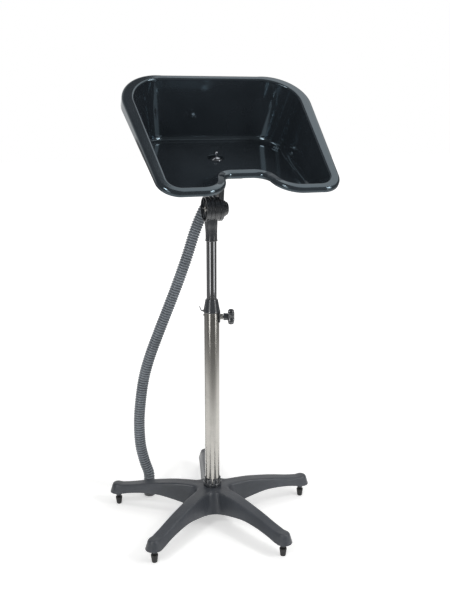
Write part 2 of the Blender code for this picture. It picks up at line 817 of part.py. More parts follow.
def make_tube_foot():
    """Plug in the tube's foot, and the bolt and washer that hold it from below."""
    bottom = SOCKET_BOSS_BOTTOM + SOCKET_BOSS_FLOOR + GAP
    radius = TUBE_RADIUS - TUBE_WALL - GAP
    bore = BOLT_RADIUS + GAP
    profile = [
        (radius, bottom + PLUG_HEIGHT),
        (radius, bottom),
        (bore, bottom),
        (bore, bottom + PLUG_HEIGHT),
    ]
    turned("tube_foot_plug", profile, STAND, SATIN_BLACK)
    seat = SOCKET_BOSS_BOTTOM - GAP
    profile = [
        (WASHER_RADIUS, seat),
        (WASHER_RADIUS, seat - WASHER_THICKNESS),
        (bore, seat - WASHER_THICKNESS),
        (bore, seat),
    ]
    turned("column_washer", profile, STAND, STEEL, SMALL_STEPS)
    head_top = seat - WASHER_THICKNESS - GAP
    head = prism_mesh(
        "column_bolt", polygon(6, BOLT_HEAD_RADIUS), head_top - BOLT_HEAD_HEIGHT, head_top
    )
    bolt = place("column_bolt", head, STAND, STEEL)
    shank = rod_mesh("shank", BOLT_RADIUS, head_top - OVERRUN, bottom + BOLT_REACH)
    join(bolt, place("bolt_shank", shank, STAND, STEEL))


def make_collar():
    """Conical collar: it caps the outer tube, guides the inner one, and holds a hook and a tongue."""
    outside = TUBE_RADIUS + GAP
    inside = TUBE_RADIUS - TUBE_WALL - GAP
    bore = MAST_RADIUS + GAP
    ledge = TUBE_TOP + GAP
    flange_top = COLLAR_BOTTOM + COLLAR_FLANGE_HEIGHT
    profile = [
        (COLLAR_TOP_RADIUS - COLLAR_EDGE, COLLAR_TOP),
        (COLLAR_TOP_RADIUS, COLLAR_TOP - COLLAR_EDGE),
        (COLLAR_CONE_RADIUS, flange_top + COLLAR_EDGE),
        (COLLAR_FLANGE_RADIUS, flange_top),
        (COLLAR_FLANGE_RADIUS, COLLAR_BOTTOM + COLLAR_EDGE),
        (COLLAR_FLANGE_RADIUS - COLLAR_EDGE, COLLAR_BOTTOM),
        (outside, COLLAR_BOTTOM),
        (outside, ledge),
        (inside, ledge),
        (inside, SLEEVE_BOTTOM),
        (bore, SLEEVE_BOTTOM),
        (bore, COLLAR_TOP),
    ]
    collar = turned("tube_collar", profile, STAND, SATIN_BLACK)
    make_tongue(collar)
    make_hook(collar)
    hole = rod_mesh("hole", PAD_RADIUS + GAP, 0, TUBE_RADIUS)
    cut(collar, place("pad_hole", hole, CLAMP, SATIN_BLACK))
    hole = rod_mesh("hole", NUT_NECK_RADIUS + GAP, TUBE_RADIUS - TUBE_WALL, 2 * TUBE_RADIUS)
    cut(collar, place("neck_hole", hole, CLAMP, SATIN_BLACK))
    hole = rod_mesh("hole", RIVET_SHANK_RADIUS + GAP, 0, TUBE_RADIUS, TINY_STEPS)
    cut(collar, place("rivet_bore", hole, RIVET, SATIN_BLACK))


def make_tongue(collar):
    """Join the curved tongue down the tube's side, which the clamp nut goes through."""
    inner = TUBE_RADIUS + GAP
    outer = inner + TONGUE_THICKNESS
    spread = TONGUE_WIDTH / 2 / inner
    steps = TINY_STEPS // 2
    angles = [along(k, 0, steps, -spread, spread) for k in range(steps + 1)]
    outline = [(outer * cos(a), outer * sin(a)) for a in angles]
    outline += [(inner * cos(a), inner * sin(a)) for a in reversed(angles)]
    mesh = prism_mesh("tongue", outline, SLEEVE_BOTTOM, COLLAR_BOTTOM + TONGUE_OVERLAP)
    join(collar, place("tongue", mesh, STAND, SATIN_BLACK, turn=(0, 0, CLAMP_AZIMUTH)))


def make_hook(collar):
    """Join the small up-turned hose hook on the collar's flange."""
    bend = interpolate_bezier(
        Vector((HOOK_ROOT_REACH, 0, COLLAR_BOTTOM + HOOK_ROOT_LIFT)),
        Vector((HOOK_LOW_REACH, 0, COLLAR_BOTTOM + HOOK_LOW_LIFT - HOOK_RADIUS)),
        Vector((HOOK_LOW_REACH + HOOK_RADIUS, 0, COLLAR_BOTTOM + HOOK_LOW_LIFT)),
        Vector((HOOK_TIP_REACH, 0, COLLAR_BOTTOM + HOOK_TIP_LIFT)),
        TINY_STEPS,
    )
    radii = [along(k, 0, len(bend) - 1, 1.0, HOOK_TIP_SHARE) for k in range(len(bend))]
    mesh = mesh_of_curve(tube_curve("hook", bend, HOOK_RADIUS, radii))
    join(collar, place("hose_hook", mesh, STAND, SATIN_BLACK, turn=(0, 0, HOOK_AZIMUTH)))


def make_rivet():
    """Rivet that keeps the collar on the tube."""
    start = MAST_RADIUS + 2 * GAP
    head = TUBE_RADIUS + GAP
    profile = [
        (0, head + RIVET_HEAD_HEIGHT),
        (RIVET_HEAD_RADIUS / 2, head + RIVET_HEAD_HEIGHT),
        (RIVET_HEAD_RADIUS, head + RIVET_HEAD_HEIGHT / 3),
        (RIVET_HEAD_RADIUS, head),
        (RIVET_SHANK_RADIUS, head),
        (RIVET_SHANK_RADIUS, start),
        (0, start),
    ]
    turned("collar_rivet", profile, RIVET, STEEL, TINY_STEPS, solid=True)


def make_clamp():
    """Clamp nut in the tube wall, pad on the inner tube, and the lobed knob with its stud."""
    neck_end = TUBE_RADIUS - TUBE_WALL
    hex_start = TUBE_RADIUS + TONGUE_THICKNESS + 2 * GAP
    hex_end = hex_start + NUT_LENGTH
    mesh = prism_mesh("clamp_nut", polygon(6, NUT_HALF_FLATS), hex_start, hex_end)
    nut = place("clamp_nut", mesh, CLAMP, STEEL)
    neck = rod_mesh("neck", NUT_NECK_RADIUS, neck_end, hex_start + OVERRUN)
    join(nut, place("nut_neck", neck, CLAMP, STEEL))
    bore = rod_mesh("bore", STUD_RADIUS + STUD_CLEARANCE, 0, hex_end + OVERRUN)
    cut(nut, place("nut_bore", bore, CLAMP, STEEL))
    pad_start = MAST_RADIUS + GAP
    pad_end = pad_start + PAD_THICKNESS
    pad = rod_mesh("clamp_pad", PAD_RADIUS, pad_start, pad_end)
    place("clamp_pad", pad, CLAMP, NYLON)
    head_start = KNOB_HUB_START + KNOB_HUB_LENGTH
    count = KNOB_LOBES * KNOB_LOBE_STEPS
    rings = []
    for radius_share, length_share in zip(KNOB_RADIUS_SHARES, KNOB_LENGTH_SHARES):
        ring = []
        for k in range(count):
            angle = 2 * pi * k / count
            radius = KNOB_HEAD_RADIUS + KNOB_LOBE_DEPTH * cos(KNOB_LOBES * angle)
            radius *= radius_share
            height = head_start + KNOB_HEAD_LENGTH * length_share
            ring.append((radius * cos(angle), radius * sin(angle), height))
        rings.append(ring)
    knob = place("clamp_knob", loft_mesh("clamp_knob", rings), CLAMP, SATIN_BLACK)
    hub = rod_mesh("hub", KNOB_HUB_RADIUS, KNOB_HUB_START, head_start + OVERRUN)
    join(knob, place("knob_hub", hub, CLAMP, SATIN_BLACK))
    stud_end = KNOB_HUB_START + STUD_SINK
    hole = rod_mesh("hole", STUD_RADIUS + GAP, KNOB_HUB_START - OVERRUN, stud_end + GAP)
    cut(knob, place("knob_bore", hole, CLAMP, SATIN_BLACK))
    stud = rod_mesh("clamp_stud", STUD_RADIUS, pad_end + GAP, stud_end)
    place("clamp_stud", stud, CLAMP, STEEL)


def make_mast():
    """Inner tube and the bush on which it glides in the outer one."""
    top = TILT_HEIGHT - STEM_DROP + MAST_INSERT
    bore = MAST_RADIUS - MAST_WALL
    profile = [(MAST_RADIUS, top), (MAST_RADIUS, MAST_BOTTOM), (bore, MAST_BOTTOM), (bore, top)]
    mast = turned("inner_tube", profile, STAND, CHROME)
    hole = rod_mesh("hole", SET_SCREW_RADIUS + GAP, 0, 2 * MAST_RADIUS, TINY_STEPS)
    cut(mast, place("set_screw_hole", hole, SET_SCREW, CHROME))
    seat = MAST_BOTTOM - GAP
    collar = TUBE_RADIUS - TUBE_WALL - GAP
    profile = [
        (bore - GAP, MAST_BOTTOM + BUSH_STEM),
        (bore - GAP, seat),
        (collar, seat),
        (collar, seat - BUSH_HEIGHT),
        (BUSH_BORE, seat - BUSH_HEIGHT),
        (BUSH_BORE, MAST_BOTTOM + BUSH_STEM),
    ]
    turned("glide_bush", profile, STAND, NYLON)


def grooved(radius, right, left, shares):
    """Return an outer profile from right to left with grooves at these shares of it."""
    profile = [(radius, right)]
    for share in sorted(shares, reverse=True):
        at = along(share, 0, 1, left, right)
        profile.append((radius, at + GROOVE))
        profile.append((radius - GROOVE_DEPTH, at))
        profile.append((radius, at - GROOVE))
    return profile


def gear_outline(clearance=0.0):
    """Return an outline of triangular teeth, let out by a clearance."""
    points = []
    for k in range(2 * GEAR_TEETH):
        angle = pi * (k + 0.5) / GEAR_TEETH
        radius = clearance + (GEAR_ROOT_RADIUS if k % 2 else GEAR_TIP_RADIUS)
        points.append((radius * cos(angle), radius * sin(angle)))
    return points


def make_socket():
    """Joint socket: a drum open on its left with spokes, on a stem that takes the inner tube."""
    bore = PIVOT_RADIUS + PIVOT_CLEARANCE
    recess = DRUM_RADIUS - DRUM_RIM
    profile = grooved(DRUM_RADIUS, DRUM_RIGHT, DRUM_LEFT, DRUM_GROOVE_SHARES)
    profile += [
        (DRUM_RADIUS, DRUM_LEFT + DRUM_EDGE),
        (DRUM_RADIUS - DRUM_EDGE, DRUM_LEFT),
        (recess, DRUM_LEFT),
        (recess, DRUM_WEB_LEFT),
        (DRUM_HUB_RADIUS, DRUM_WEB_LEFT),
        (DRUM_HUB_RADIUS, DRUM_HUB_LEFT),
        (bore, DRUM_HUB_LEFT),
        (bore, DRUM_RIGHT),
    ]
    socket = turned("joint_socket", profile, PIVOT, SATIN_BLACK)
    join(socket, make_neck())
    for k in range(DRUM_SPOKES):
        inner = DRUM_HUB_RADIUS - DRUM_EDGE
        outer = recess + DRUM_EDGE
        left = DRUM_LEFT + DRUM_SPOKE_RECESS
        right = DRUM_WEB_LEFT + DRUM_WEB / 2
        size = (outer - inner, DRUM_SPOKE, right - left)
        spoke = box_mesh("spoke", size, ((inner + outer) / 2, 0, (left + right) / 2))
        turn = (0, 0, 2 * pi * (k + 0.5) / DRUM_SPOKES)
        join(socket, place(f"spoke_{k}", spoke, PIVOT, SATIN_BLACK, turn=turn))
    web_right = DRUM_WEB_LEFT + DRUM_WEB
    spline = prism_mesh(
        "spline", gear_outline(GEAR_CLEARANCE), web_right, DRUM_RIGHT + OVERRUN
    )
    cut(socket, place("socket_spline", spline, PIVOT, SATIN_BLACK))
    bore_stem(socket)


def neck_ring(drop, left_share, right_share, depth_share):
    """Return one section of the stem and of the neck between it and the drum."""
    ring = []
    for k in range(NECK_STEPS):
        angle = 2 * pi * (k + 0.5) / NECK_STEPS
        power = along(depth_share, 1.0, NECK_DEPTH_SHARES[-1], 2.0, NECK_SQUARENESS)
        c, s = cos(angle), sin(angle)
        size = (abs(c) ** power + abs(s) ** power) ** (-1 / power)
        wide = STEM_RADIUS * (right_share if c > 0 else left_share)
        ring.append((wide * size * c, STEM_RADIUS * depth_share * size * s, -drop))
    return ring


def make_neck():
    """Return the stem with its bead and ribs, flaring into the neck under the drum."""
    bead = (STEM_RADIUS + STEM_BEAD) / STEM_RADIUS
    bead_top = STEM_DROP - STEM_BEAD_HEIGHT
    rows = [
        (STEM_DROP, 1.0, 1.0, 1.0),
        (STEM_DROP - STEM_BEAD, bead, bead, bead),
        (bead_top, bead, bead, bead),
        (bead_top - STEM_BEAD, 1.0, 1.0, 1.0),
    ]
    rows += zip(NECK_DROPS, NECK_LEFT_SHARES, NECK_RIGHT_SHARES, NECK_DEPTH_SHARES)
    rings = [neck_ring(*row) for row in rows]
    neck = place("socket_neck", loft_mesh("neck", rings), TILT, SATIN_BLACK)
    depth = (STEM_RADIUS**2 - STEM_RIB_SPREAD**2) ** 0.5
    for side in (-1, 1):
        for spread in (-STEM_RIB_SPREAD, STEM_RIB_SPREAD):
            rib = rod_mesh(
                "rib",
                STEM_RIB_RADIUS,
                STEM_BEAD_HEIGHT - STEM_DROP,
                -STEM_RIB_TOP_DROP,
                TINY_STEPS,
            )
            name = f"stem_rib_{side}_{spread > 0}"
            where = (spread, side * depth, 0)
            join(neck, place(name, rib, TILT, SATIN_BLACK, location=where))
    clear = rod_mesh("clear", DRUM_RADIUS - DRUM_RIM / 2, 2 * DRUM_LEFT, 2 * DRUM_RIGHT)
    cut(neck, place("neck_clear", clear, PIVOT, SATIN_BLACK))
    outer, right = DRUM_RADIUS + DRUM_EDGE, DRUM_RIGHT - GAP
    clear = rod_mesh("clear", outer, right, 2 * STEM_RADIUS, ROUND_STEPS)
    cut(neck, place("knuckle_clear", clear, PIVOT, SATIN_BLACK))
    return neck


def bore_stem(socket):
    """Bore the stem for the inner tube and drill it for the set screw."""
    bottom = -STEM_DROP
    bore = rod_mesh(
        "bore", MAST_RADIUS + GAP, bottom - OVERRUN, bottom + MAST_INSERT + GAP, ROUND_STEPS
    )
    cut(socket, place("mast_bore", bore, TILT, SATIN_BLACK))
    hole = rod_mesh("hole", SET_SCREW_RADIUS + GAP, 0, 2 * STEM_RADIUS, TINY_STEPS)
    cut(socket, place("set_screw_bore", hole, SET_SCREW, SATIN_BLACK))


def make_set_screw():
    """Screw that fixes the inner tube in the socket, on its hidden side."""
    seat = STEM_RADIUS + GAP
    profile = [
        (0, seat + SET_SCREW_HEAD_HEIGHT),
        (SET_SCREW_HEAD / 2, seat + SET_SCREW_HEAD_HEIGHT),
        (SET_SCREW_HEAD, seat + SET_SCREW_HEAD_HEIGHT / 3),
        (SET_SCREW_HEAD, seat),
        (SET_SCREW_RADIUS, seat),
        (SET_SCREW_RADIUS, MAST_RADIUS - MAST_WALL - SET_SCREW_RADIUS),
        (0, MAST_RADIUS - MAST_WALL - SET_SCREW_RADIUS),
    ]
    turned("socket_screw", profile, SET_SCREW, STEEL, TINY_STEPS, solid=True)


def make_pivot():
    """Pivot bolt with its bright slotted head in the drum's open side, and its nut."""
    head_right = DRUM_HUB_LEFT - GAP
    head_left = head_right - PIVOT_HEAD
    nut_left = KNUCKLE_RIGHT + GAP
    nut_right = nut_left + PIVOT_NUT
    profile = [
        (0, nut_right),
        (PIVOT_RADIUS, nut_right),
        (PIVOT_RADIUS, head_right),
        (PIVOT_HEAD_RADIUS, head_right),
        (PIVOT_HEAD_RADIUS, head_left + PIVOT_HEAD / 3),
        (PIVOT_HEAD_RADIUS / 2, head_left),
        (0, head_left),
    ]
    bolt = turned("pivot_bolt", profile, PIVOT, STEEL, SMALL_STEPS, solid=True)
    slot = box_mesh(
        "slot",
        (3 * PIVOT_HEAD_RADIUS, PIVOT_SLOT, 2 * PIVOT_SLOT_DEPTH),
        (0, 0, head_left),
    )
    cut(bolt, place("pivot_slot", slot, PIVOT, STEEL, turn=(0, 0, radians(40))))
    mesh = prism_mesh("pivot_nut", polygon(6, PIVOT_NUT_HALF_FLATS), nut_left, nut_right)
    nut = place("pivot_nut", mesh, PIVOT, STEEL)
    bore = rod_mesh("bore", PIVOT_RADIUS + GAP, nut_left - OVERRUN, nut_right + OVERRUN)
    cut(nut, place("pivot_nut_bore", bore, PIVOT, STEEL))


def make_gear():
    """Lock gear that ties the bracket's spline to the socket's, and the spring behind it."""
    left = DRUM_RIGHT - GEAR_ENGAGED
    mesh = prism_mesh("lock_gear", gear_outline(), left, left + GEAR_WIDTH)
    gear = place("lock_gear", mesh, PIVOT, NYLON)
    bore = rod_mesh(
        "bore", PIVOT_RADIUS + PIVOT_CLEARANCE, left - OVERRUN, left + GEAR_WIDTH + OVERRUN
    )
    cut(gear, place("gear_bore", bore, PIVOT, NYLON))
    pocket_end = left + GEAR_POCKET_DEPTH
    profile = [
        (GEAR_POCKET_OUTER, pocket_end),
        (GEAR_POCKET_OUTER, left - OVERRUN),
        (GEAR_POCKET_INNER, left - OVERRUN),
        (GEAR_POCKET_INNER, pocket_end),
    ]
    cut(gear, turned("spring_pocket", profile, PIVOT, NYLON, SMALL_STEPS))
    start = DRUM_WEB_LEFT + DRUM_WEB + SPRING_WIRE + GAP
    end = pocket_end - SPRING_WIRE - GAP
    points = []
    steps = SPRING_TURNS * SPRING_TURN_STEPS
    for k in range(steps + 1):
        angle = 2 * pi * k / SPRING_TURN_STEPS
        height = along(k, 0, steps, start, end)
        points.append((SPRING_RADIUS * cos(angle), SPRING_RADIUS * sin(angle), height))
    mesh = mesh_of_curve(tube_curve("spring", points, SPRING_WIRE, resolution=1))
    place("gear_spring", mesh, PIVOT, STEEL)


def make_button():
    """Round release button whose prongs push the lock gear out of the bracket."""
    pocket = KNUCKLE_RIGHT
    left = pocket + BUTTON_TRAVEL + 2 * GAP
    core_left = pocket + PIVOT_NUT + BUTTON_TRAVEL + 3 * GAP
    inner = BUTTON_OUT - BUTTON_SKIN
    profile = [
        (0, BUTTON_OUT),
        (BUTTON_RADIUS - 2 * BUTTON_EDGE, BUTTON_OUT),
        (BUTTON_RADIUS - BUTTON_EDGE / 2, BUTTON_OUT - BUTTON_EDGE / 2),
        (BUTTON_RADIUS, BUTTON_OUT - BUTTON_EDGE),
        (BUTTON_RADIUS, left),
        (BUTTON_CORE_RADIUS, left),
        (BUTTON_CORE_RADIUS, min(core_left, inner)),
        (0, min(core_left, inner)),
    ]
    button = turned("release_button", profile, PIVOT, SATIN_BLACK, solid=True)
    gear_right = DRUM_RIGHT - GEAR_ENGAGED + GEAR_WIDTH
    for k in range(PRONG_COUNT):
        azimuth = 2 * pi * k / PRONG_COUNT
        where = (PRONG_CIRCLE * cos(azimuth), PRONG_CIRCLE * sin(azimuth), 0)
        prong = rod_mesh(
            "prong", PRONG_RADIUS, gear_right + GAP, left + OVERRUN, TINY_STEPS
        )
        join(button, place(f"prong_{k}", prong, PIVOT, SATIN_BLACK, location=where))


def rounded_rectangle(width, depth, corner, steps=4):
    """Return a rectangle round the origin with arcs for corners, as (x, y)."""
    x, y = width / 2, depth / 2
    corners = [(x, -y), (x, y), (-x, y), (-x, -y)]
    outline = rounded_outline(corners, [corner] * 4, [steps] * 4, [1] * 4)
    return [tuple(p) for p, _ in outline]


def plate_centre():
    """Return the middle of the bracket plate's top, in the drain's frame."""
    back = -PLATE_BACK_SPACE - PLATE_LENGTH / 2
    return Vector((-DRAIN_SIDE, back, -BASIN_WALL - SCREW_BOSS_DROP - GAP))


def make_bracket():
    """Tilt bracket: splined knuckle, ring round the button, arm and screwed plate."""
    left = DRUM_RIGHT + KNUCKLE_GAP
    bore = PIVOT_RADIUS + PIVOT_CLEARANCE
    ring_bore = BUTTON_RADIUS + HUB_RING_CLEARANCE
    profile = grooved(KNUCKLE_RADIUS, KNUCKLE_RIGHT, left, (0.5,))
    profile = [
        (ring_bore, HUB_RING_RIGHT),
        (HUB_RING_OUTER - DRUM_EDGE, HUB_RING_RIGHT),
        (HUB_RING_OUTER, HUB_RING_RIGHT - DRUM_EDGE),
        (HUB_RING_OUTER, KNUCKLE_RIGHT),
        *profile,
        (KNUCKLE_RADIUS, left),
        (bore, left),
        (bore, KNUCKLE_RIGHT),
        (ring_bore, KNUCKLE_RIGHT),
    ]
    bracket = turned("tilt_bracket", profile, PIVOT, SATIN_BLACK)
    join(bracket, make_bracket_arm())
    spline = prism_mesh(
        "spline", gear_outline(GEAR_CLEARANCE), left - OVERRUN, KNUCKLE_CAVITY_END
    )
    cut(bracket, place("bracket_spline", spline, PIVOT, SATIN_BLACK))
    for k in range(PRONG_COUNT):
        azimuth = 2 * pi * k / PRONG_COUNT
        where = (PRONG_CIRCLE * cos(azimuth), PRONG_CIRCLE * sin(azimuth), 0)
        hole = rod_mesh(
            "hole",
            PRONG_RADIUS + PRONG_CLEARANCE,
            KNUCKLE_CAVITY_END - OVERRUN,
            KNUCKLE_RIGHT + OVERRUN,
            TINY_STEPS,
        )
        cut(bracket, place(f"prong_hole_{k}", hole, PIVOT, SATIN_BLACK, location=where))
    make_plate(bracket)


def make_bracket_arm():
    """Return the arm from the knuckle up to the plate, hollowed clear of the pivot."""
    target = DRAIN_FRAME @ (plate_centre() - Vector((0, 0, PLATE_THICKNESS / 2)))
    width = ARM_RIGHT - ARM_LEFT
    middle = (ARM_LEFT + ARM_RIGHT) / 2
    rings = []
    for share, depth in zip(ARM_SHARES, ARM_DEPTHS):
        outline = rounded_rectangle(width, depth, ARM_CORNER, 3)
        lean = tan(BASIN_TILT - FLOOR_SLOPE) * share
        y, z = target.y * share, target.z * share
        rings.append([(middle + p[0], y + p[1], z + p[1] * lean) for p in outline])
    arm = place("bracket_arm", loft_mesh("arm", rings), TILT, SATIN_BLACK)
    clear = rod_mesh(
        "clear", KNUCKLE_RADIUS - DRUM_RIM, ARM_LEFT - OVERRUN, KNUCKLE_RIGHT - OVERRUN
    )
    cut(arm, place("arm_clear", clear, PIVOT, SATIN_BLACK))
    ring_bore = (BUTTON_RADIUS + HUB_RING_OUTER) / 2
    clear = rod_mesh("clear", ring_bore, KNUCKLE_RIGHT - 2 * OVERRUN, HUB_RING_RIGHT + OVERRUN)
    cut(arm, place("arm_ring_clear", clear, PIVOT, SATIN_BLACK))
    return arm


def screw_places():
    """Return the four screw places on the bracket plate, in the drain's frame."""
    middle = plate_centre()
    return [
        Vector((middle.x + sx * SCREW_SPAN_X / 2, middle.y + sy * SCREW_SPAN_Y / 2, 0))
        for sx in (-1, 1)
        for sy in (-1, 1)
    ]


def make_plate(bracket):
    """Join the plate and its gussets, and drill it for the screws."""
    middle = plate_centre()
    outline = rounded_rectangle(PLATE_WIDTH, PLATE_LENGTH, PLATE_CORNER)
    outline = [(x + middle.x, y + middle.y) for x, y in outline]
    mesh = prism_mesh("plate", outline, middle.z - PLATE_THICKNESS, middle.z)
    join(bracket, place("bracket_plate", mesh, DRAIN, SATIN_BLACK))
    arm_middle = (ARM_LEFT + ARM_RIGHT) / 2 - BASIN_SHIFT - DRAIN_SIDE
    under = middle.z - PLATE_THICKNESS / 2
    half = GUSSET / 2
    reach = GUSSET_REACH
    outline = [
        (arm_middle - reach, under),
        (arm_middle, under - GUSSET_DROP),
        (arm_middle + reach, under),
    ]
    rings = [[(x, middle.y + y, z) for x, z in outline] for y in (-half, half)]
    join(bracket, place("plate_gusset", loft_mesh("gusset", rings), DRAIN, SATIN_BLACK))
    for k, spot in enumerate(screw_places()):
        hole = rod_mesh(
            "hole",
            SCREW_RADIUS + SCREW_CLEARANCE,
            middle.z - PLATE_THICKNESS - OVERRUN,
            middle.z + OVERRUN,
            TINY_STEPS,
        )
        cut(bracket, place(f"plate_hole_{k}", hole, DRAIN, SATIN_BLACK, location=spot))


def make_bracket_screws():
    """Four screws up through the plate into the basin's bosses."""
    seat = plate_centre().z - PLATE_THICKNESS - GAP
    tip = plate_centre().z + SCREW_REACH
    profile = [
        (0, tip),
        (SCREW_RADIUS, tip),
        (SCREW_RADIUS, seat),
        (SCREW_HEAD_RADIUS, seat),
        (SCREW_HEAD_RADIUS, seat - SCREW_HEAD / 2),
        (SCREW_HEAD_RADIUS / 2, seat - SCREW_HEAD),
        (0, seat - SCREW_HEAD),
    ]
    for k, spot in enumerate(screw_places()):
        turned(
            f"bracket_screw_{k + 1}",
            profile,
            DRAIN,
            STEEL,
            TINY_STEPS,
            solid=True,
            location=spot,
        )


def both_sides(right_corners, right_radii, arc_steps):
    """Return a symmetric outline's corners, radii and arc steps from those of its right half."""
    left = [(-x, y) for x, y in reversed(right_corners)]
    radii = list(right_radii) + list(reversed(right_radii))
    steps = list(arc_steps) + list(reversed(arc_steps))
    return list(right_corners) + left, radii, steps


def basin_outline(corners, radii):
    """Return the (point, outward normal) pairs of one outline of the basin."""
    corners, radii, arcs = both_sides(corners, radii, ARC_STEPS)
    recess, side, front, flank, back = LINE_STEPS
    lines = [recess, side, front, flank, back, flank, front, side]
    return rounded_outline(corners, radii, arcs, lines)


def rim_outline():
    """Return the inner edge of the rim, with the neck recess in its front."""
    corners = [
        (RECESS_BASE_HALF, RIM_FRONT + RECESS_DEPTH),
        (RECESS_MOUTH_HALF, RIM_FRONT),
        (RIM_FRONT_HALF, RIM_FRONT),
        (RIM_BACK_HALF, RIM_BACK),
    ]
    radii = (RECESS_BASE_CORNER, RECESS_MOUTH_CORNER, RIM_FRONT_CORNER, RIM_BACK_CORNER)
    return basin_outline(corners, radii)


def floor_outline():
    """Return the outline in which the walls meet the bowl's floor."""
    corners = [
        (FLOOR_RECESS_BASE_HALF, FLOOR_RECESS_TOP),
        (FLOOR_RECESS_MOUTH_HALF, FLOOR_FRONT),
        (FLOOR_FRONT_HALF, FLOOR_FRONT),
        (FLOOR_BACK_HALF, FLOOR_BACK),
    ]
    radii = (
        FLOOR_RECESS_BASE_CORNER,
        FLOOR_RECESS_MOUTH_CORNER,
        FLOOR_FRONT_CORNER,
        FLOOR_BACK_CORNER,
    )
    return basin_outline(corners, radii)


def rim_dip(point):
    """Return how far the rim lies under its plane at a point of its inner edge."""
    within = abs(point.x) < RIM_FRONT_HALF - RIM_FRONT_CORNER
    if not within or point.y > RIM_FRONT + RECESS_DEPTH + RIM_FRONT_CORNER:
        return 0.0
    return along(point.y, RIM_FRONT, RIM_FRONT + RECESS_DEPTH, 0.0, RECESS_DIP)


def floor_height(back):
    """Return the height of the bowl's floor at a place along its slope."""
    return DRAIN_HEIGHT - (back - DRAIN_BACK) * tan(FLOOR_SLOPE)


def rim_rows():
    """Return the rim's rings, from the skirt's lower edge over the roll to the inner edge."""
    outline = rim_outline()
    rows = [[] for _ in range(ROLL_STEPS + FILLET_STEPS + 4)]
    for point, normal in outline:
        on_front = point.y < RIM_FRONT + RECESS_DEPTH + RIM_FRONT_CORNER and normal.y < 0
        sideways = abs(normal.x) if rim_dip(point) == 0 or not on_front else 0.0
        ahead, skirt_ahead = RIM_WIDTH_FRONT, SKIRT_FRONT
        if not on_front:
            ahead, skirt_ahead = RIM_WIDTH_BACK, SKIRT_BACK
        width = along(point.y, RIM_FRONT, RIM_BACK, RIM_WIDTH_SIDE_FRONT, RIM_WIDTH_SIDE_BACK)
        width = along(sideways, 0, 1, ahead, width)
        skirt = along(point.y, RIM_FRONT, RIM_BACK, SKIRT_SIDE_FRONT, SKIRT_BACK)
        skirt = along(sideways, 0, 1, skirt_ahead, skirt)
        offsets = [(width, skirt)]
        for k in range(ROLL_STEPS + 1):
            angle = pi / 2 * (1 - k / ROLL_STEPS)
            out = width - RIM_ROLL * (1 - sin(angle))
            offsets.append((out, RIM_ROLL * (1 - cos(angle))))
        offsets.append(((width - RIM_ROLL + INNER_ROLL) / 2, 0.0))
        for k in range(FILLET_STEPS + 1):
            angle = pi / 2 * k / FILLET_STEPS
            offsets.append((INNER_ROLL * (1 - sin(angle)), INNER_ROLL * (1 - cos(angle))))
        for row, (out, down) in zip(rows, offsets):
            plan = point + normal * out
            row.append(Vector((plan.x, plan.y, RIM_HEIGHT - rim_dip(point) - down)))
    return rows


def wall_rows(inner_edge):
    """Return the rings of the fillet between the walls and the floor."""
    rows = [[] for _ in range(FILLET_STEPS + 1)]
    for top, (point, normal) in zip(inner_edge, floor_outline()):
        corner = Vector((point.x, point.y, floor_height(point.y)))
        up = (top - corner).normalized()
        inward = Vector((-normal.x, -normal.y, normal.y * tan(FLOOR_SLOPE))).normalized()
        start = corner + up * FLOOR_FILLET
        end = corner + inward * FLOOR_FILLET
        for k in range(FILLET_STEPS + 1):
            share = k / FILLET_STEPS
            a, b = start.lerp(corner, share), corner.lerp(end, share)
            rows[k].append(a.lerp(b, share))
    return rows


def drain_ring(radius, drop, count):
    """Return a ring of points round the drain on the sloping floor, in the basin's frame."""
    points = []
    for k in range(count):
        angle = -pi / 2 + 2 * pi * k / count
        spot = Vector((radius * cos(angle), radius * sin(angle), -drop))
        points.append(DRAIN_IN_BASIN @ spot)
    return points


def basin_skin_mesh():
    """Return the open skin of the basin: rim, walls and floor, with a hole for the drain."""
    bm = bmesh.new()
    rims = rim_rows()
    rows = [[bm.verts.new(p) for p in row] for row in rims + wall_rows(rims[-1])]
    for outer, inner in zip(rows, rows[1:]):
        ring_band(bm, outer, inner)
    seat_rings = ((SEAT_RADIUS + SEAT_SLOPE, 0), (SEAT_RADIUS, SEAT_DEPTH))
    seat_rings += ((FLANGE_NECK + GAP, SEAT_DEPTH),)
    seats = [
        [bm.verts.new(p) for p in drain_ring(radius, drop, ROUND_STEPS)]
        for radius, drop in seat_rings
    ]
    loops = []
    for loop in (rows[-1], seats[0]):
        count = len(loop)
        for i in range(count):
            edge = bm.edges.get((loop[i], loop[(i + 1) % count]))
            loops.append(edge or bm.edges.new((loop[i], loop[(i + 1) % count])))
    filled = bmesh.ops.triangle_fill(bm, use_beauty=True, use_dissolve=False, edges=loops)
    floor = [f for f in filled["geom"] if isinstance(f, bmesh.types.BMFace)]
    for face in floor:
        face.normal_update()
        if face.normal.z < 0:
            face.normal_flip()
    for outer, inner in zip(seats, seats[1:]):
        ring_band(bm, outer, inner)
    return mesh_from(bm, "basin")


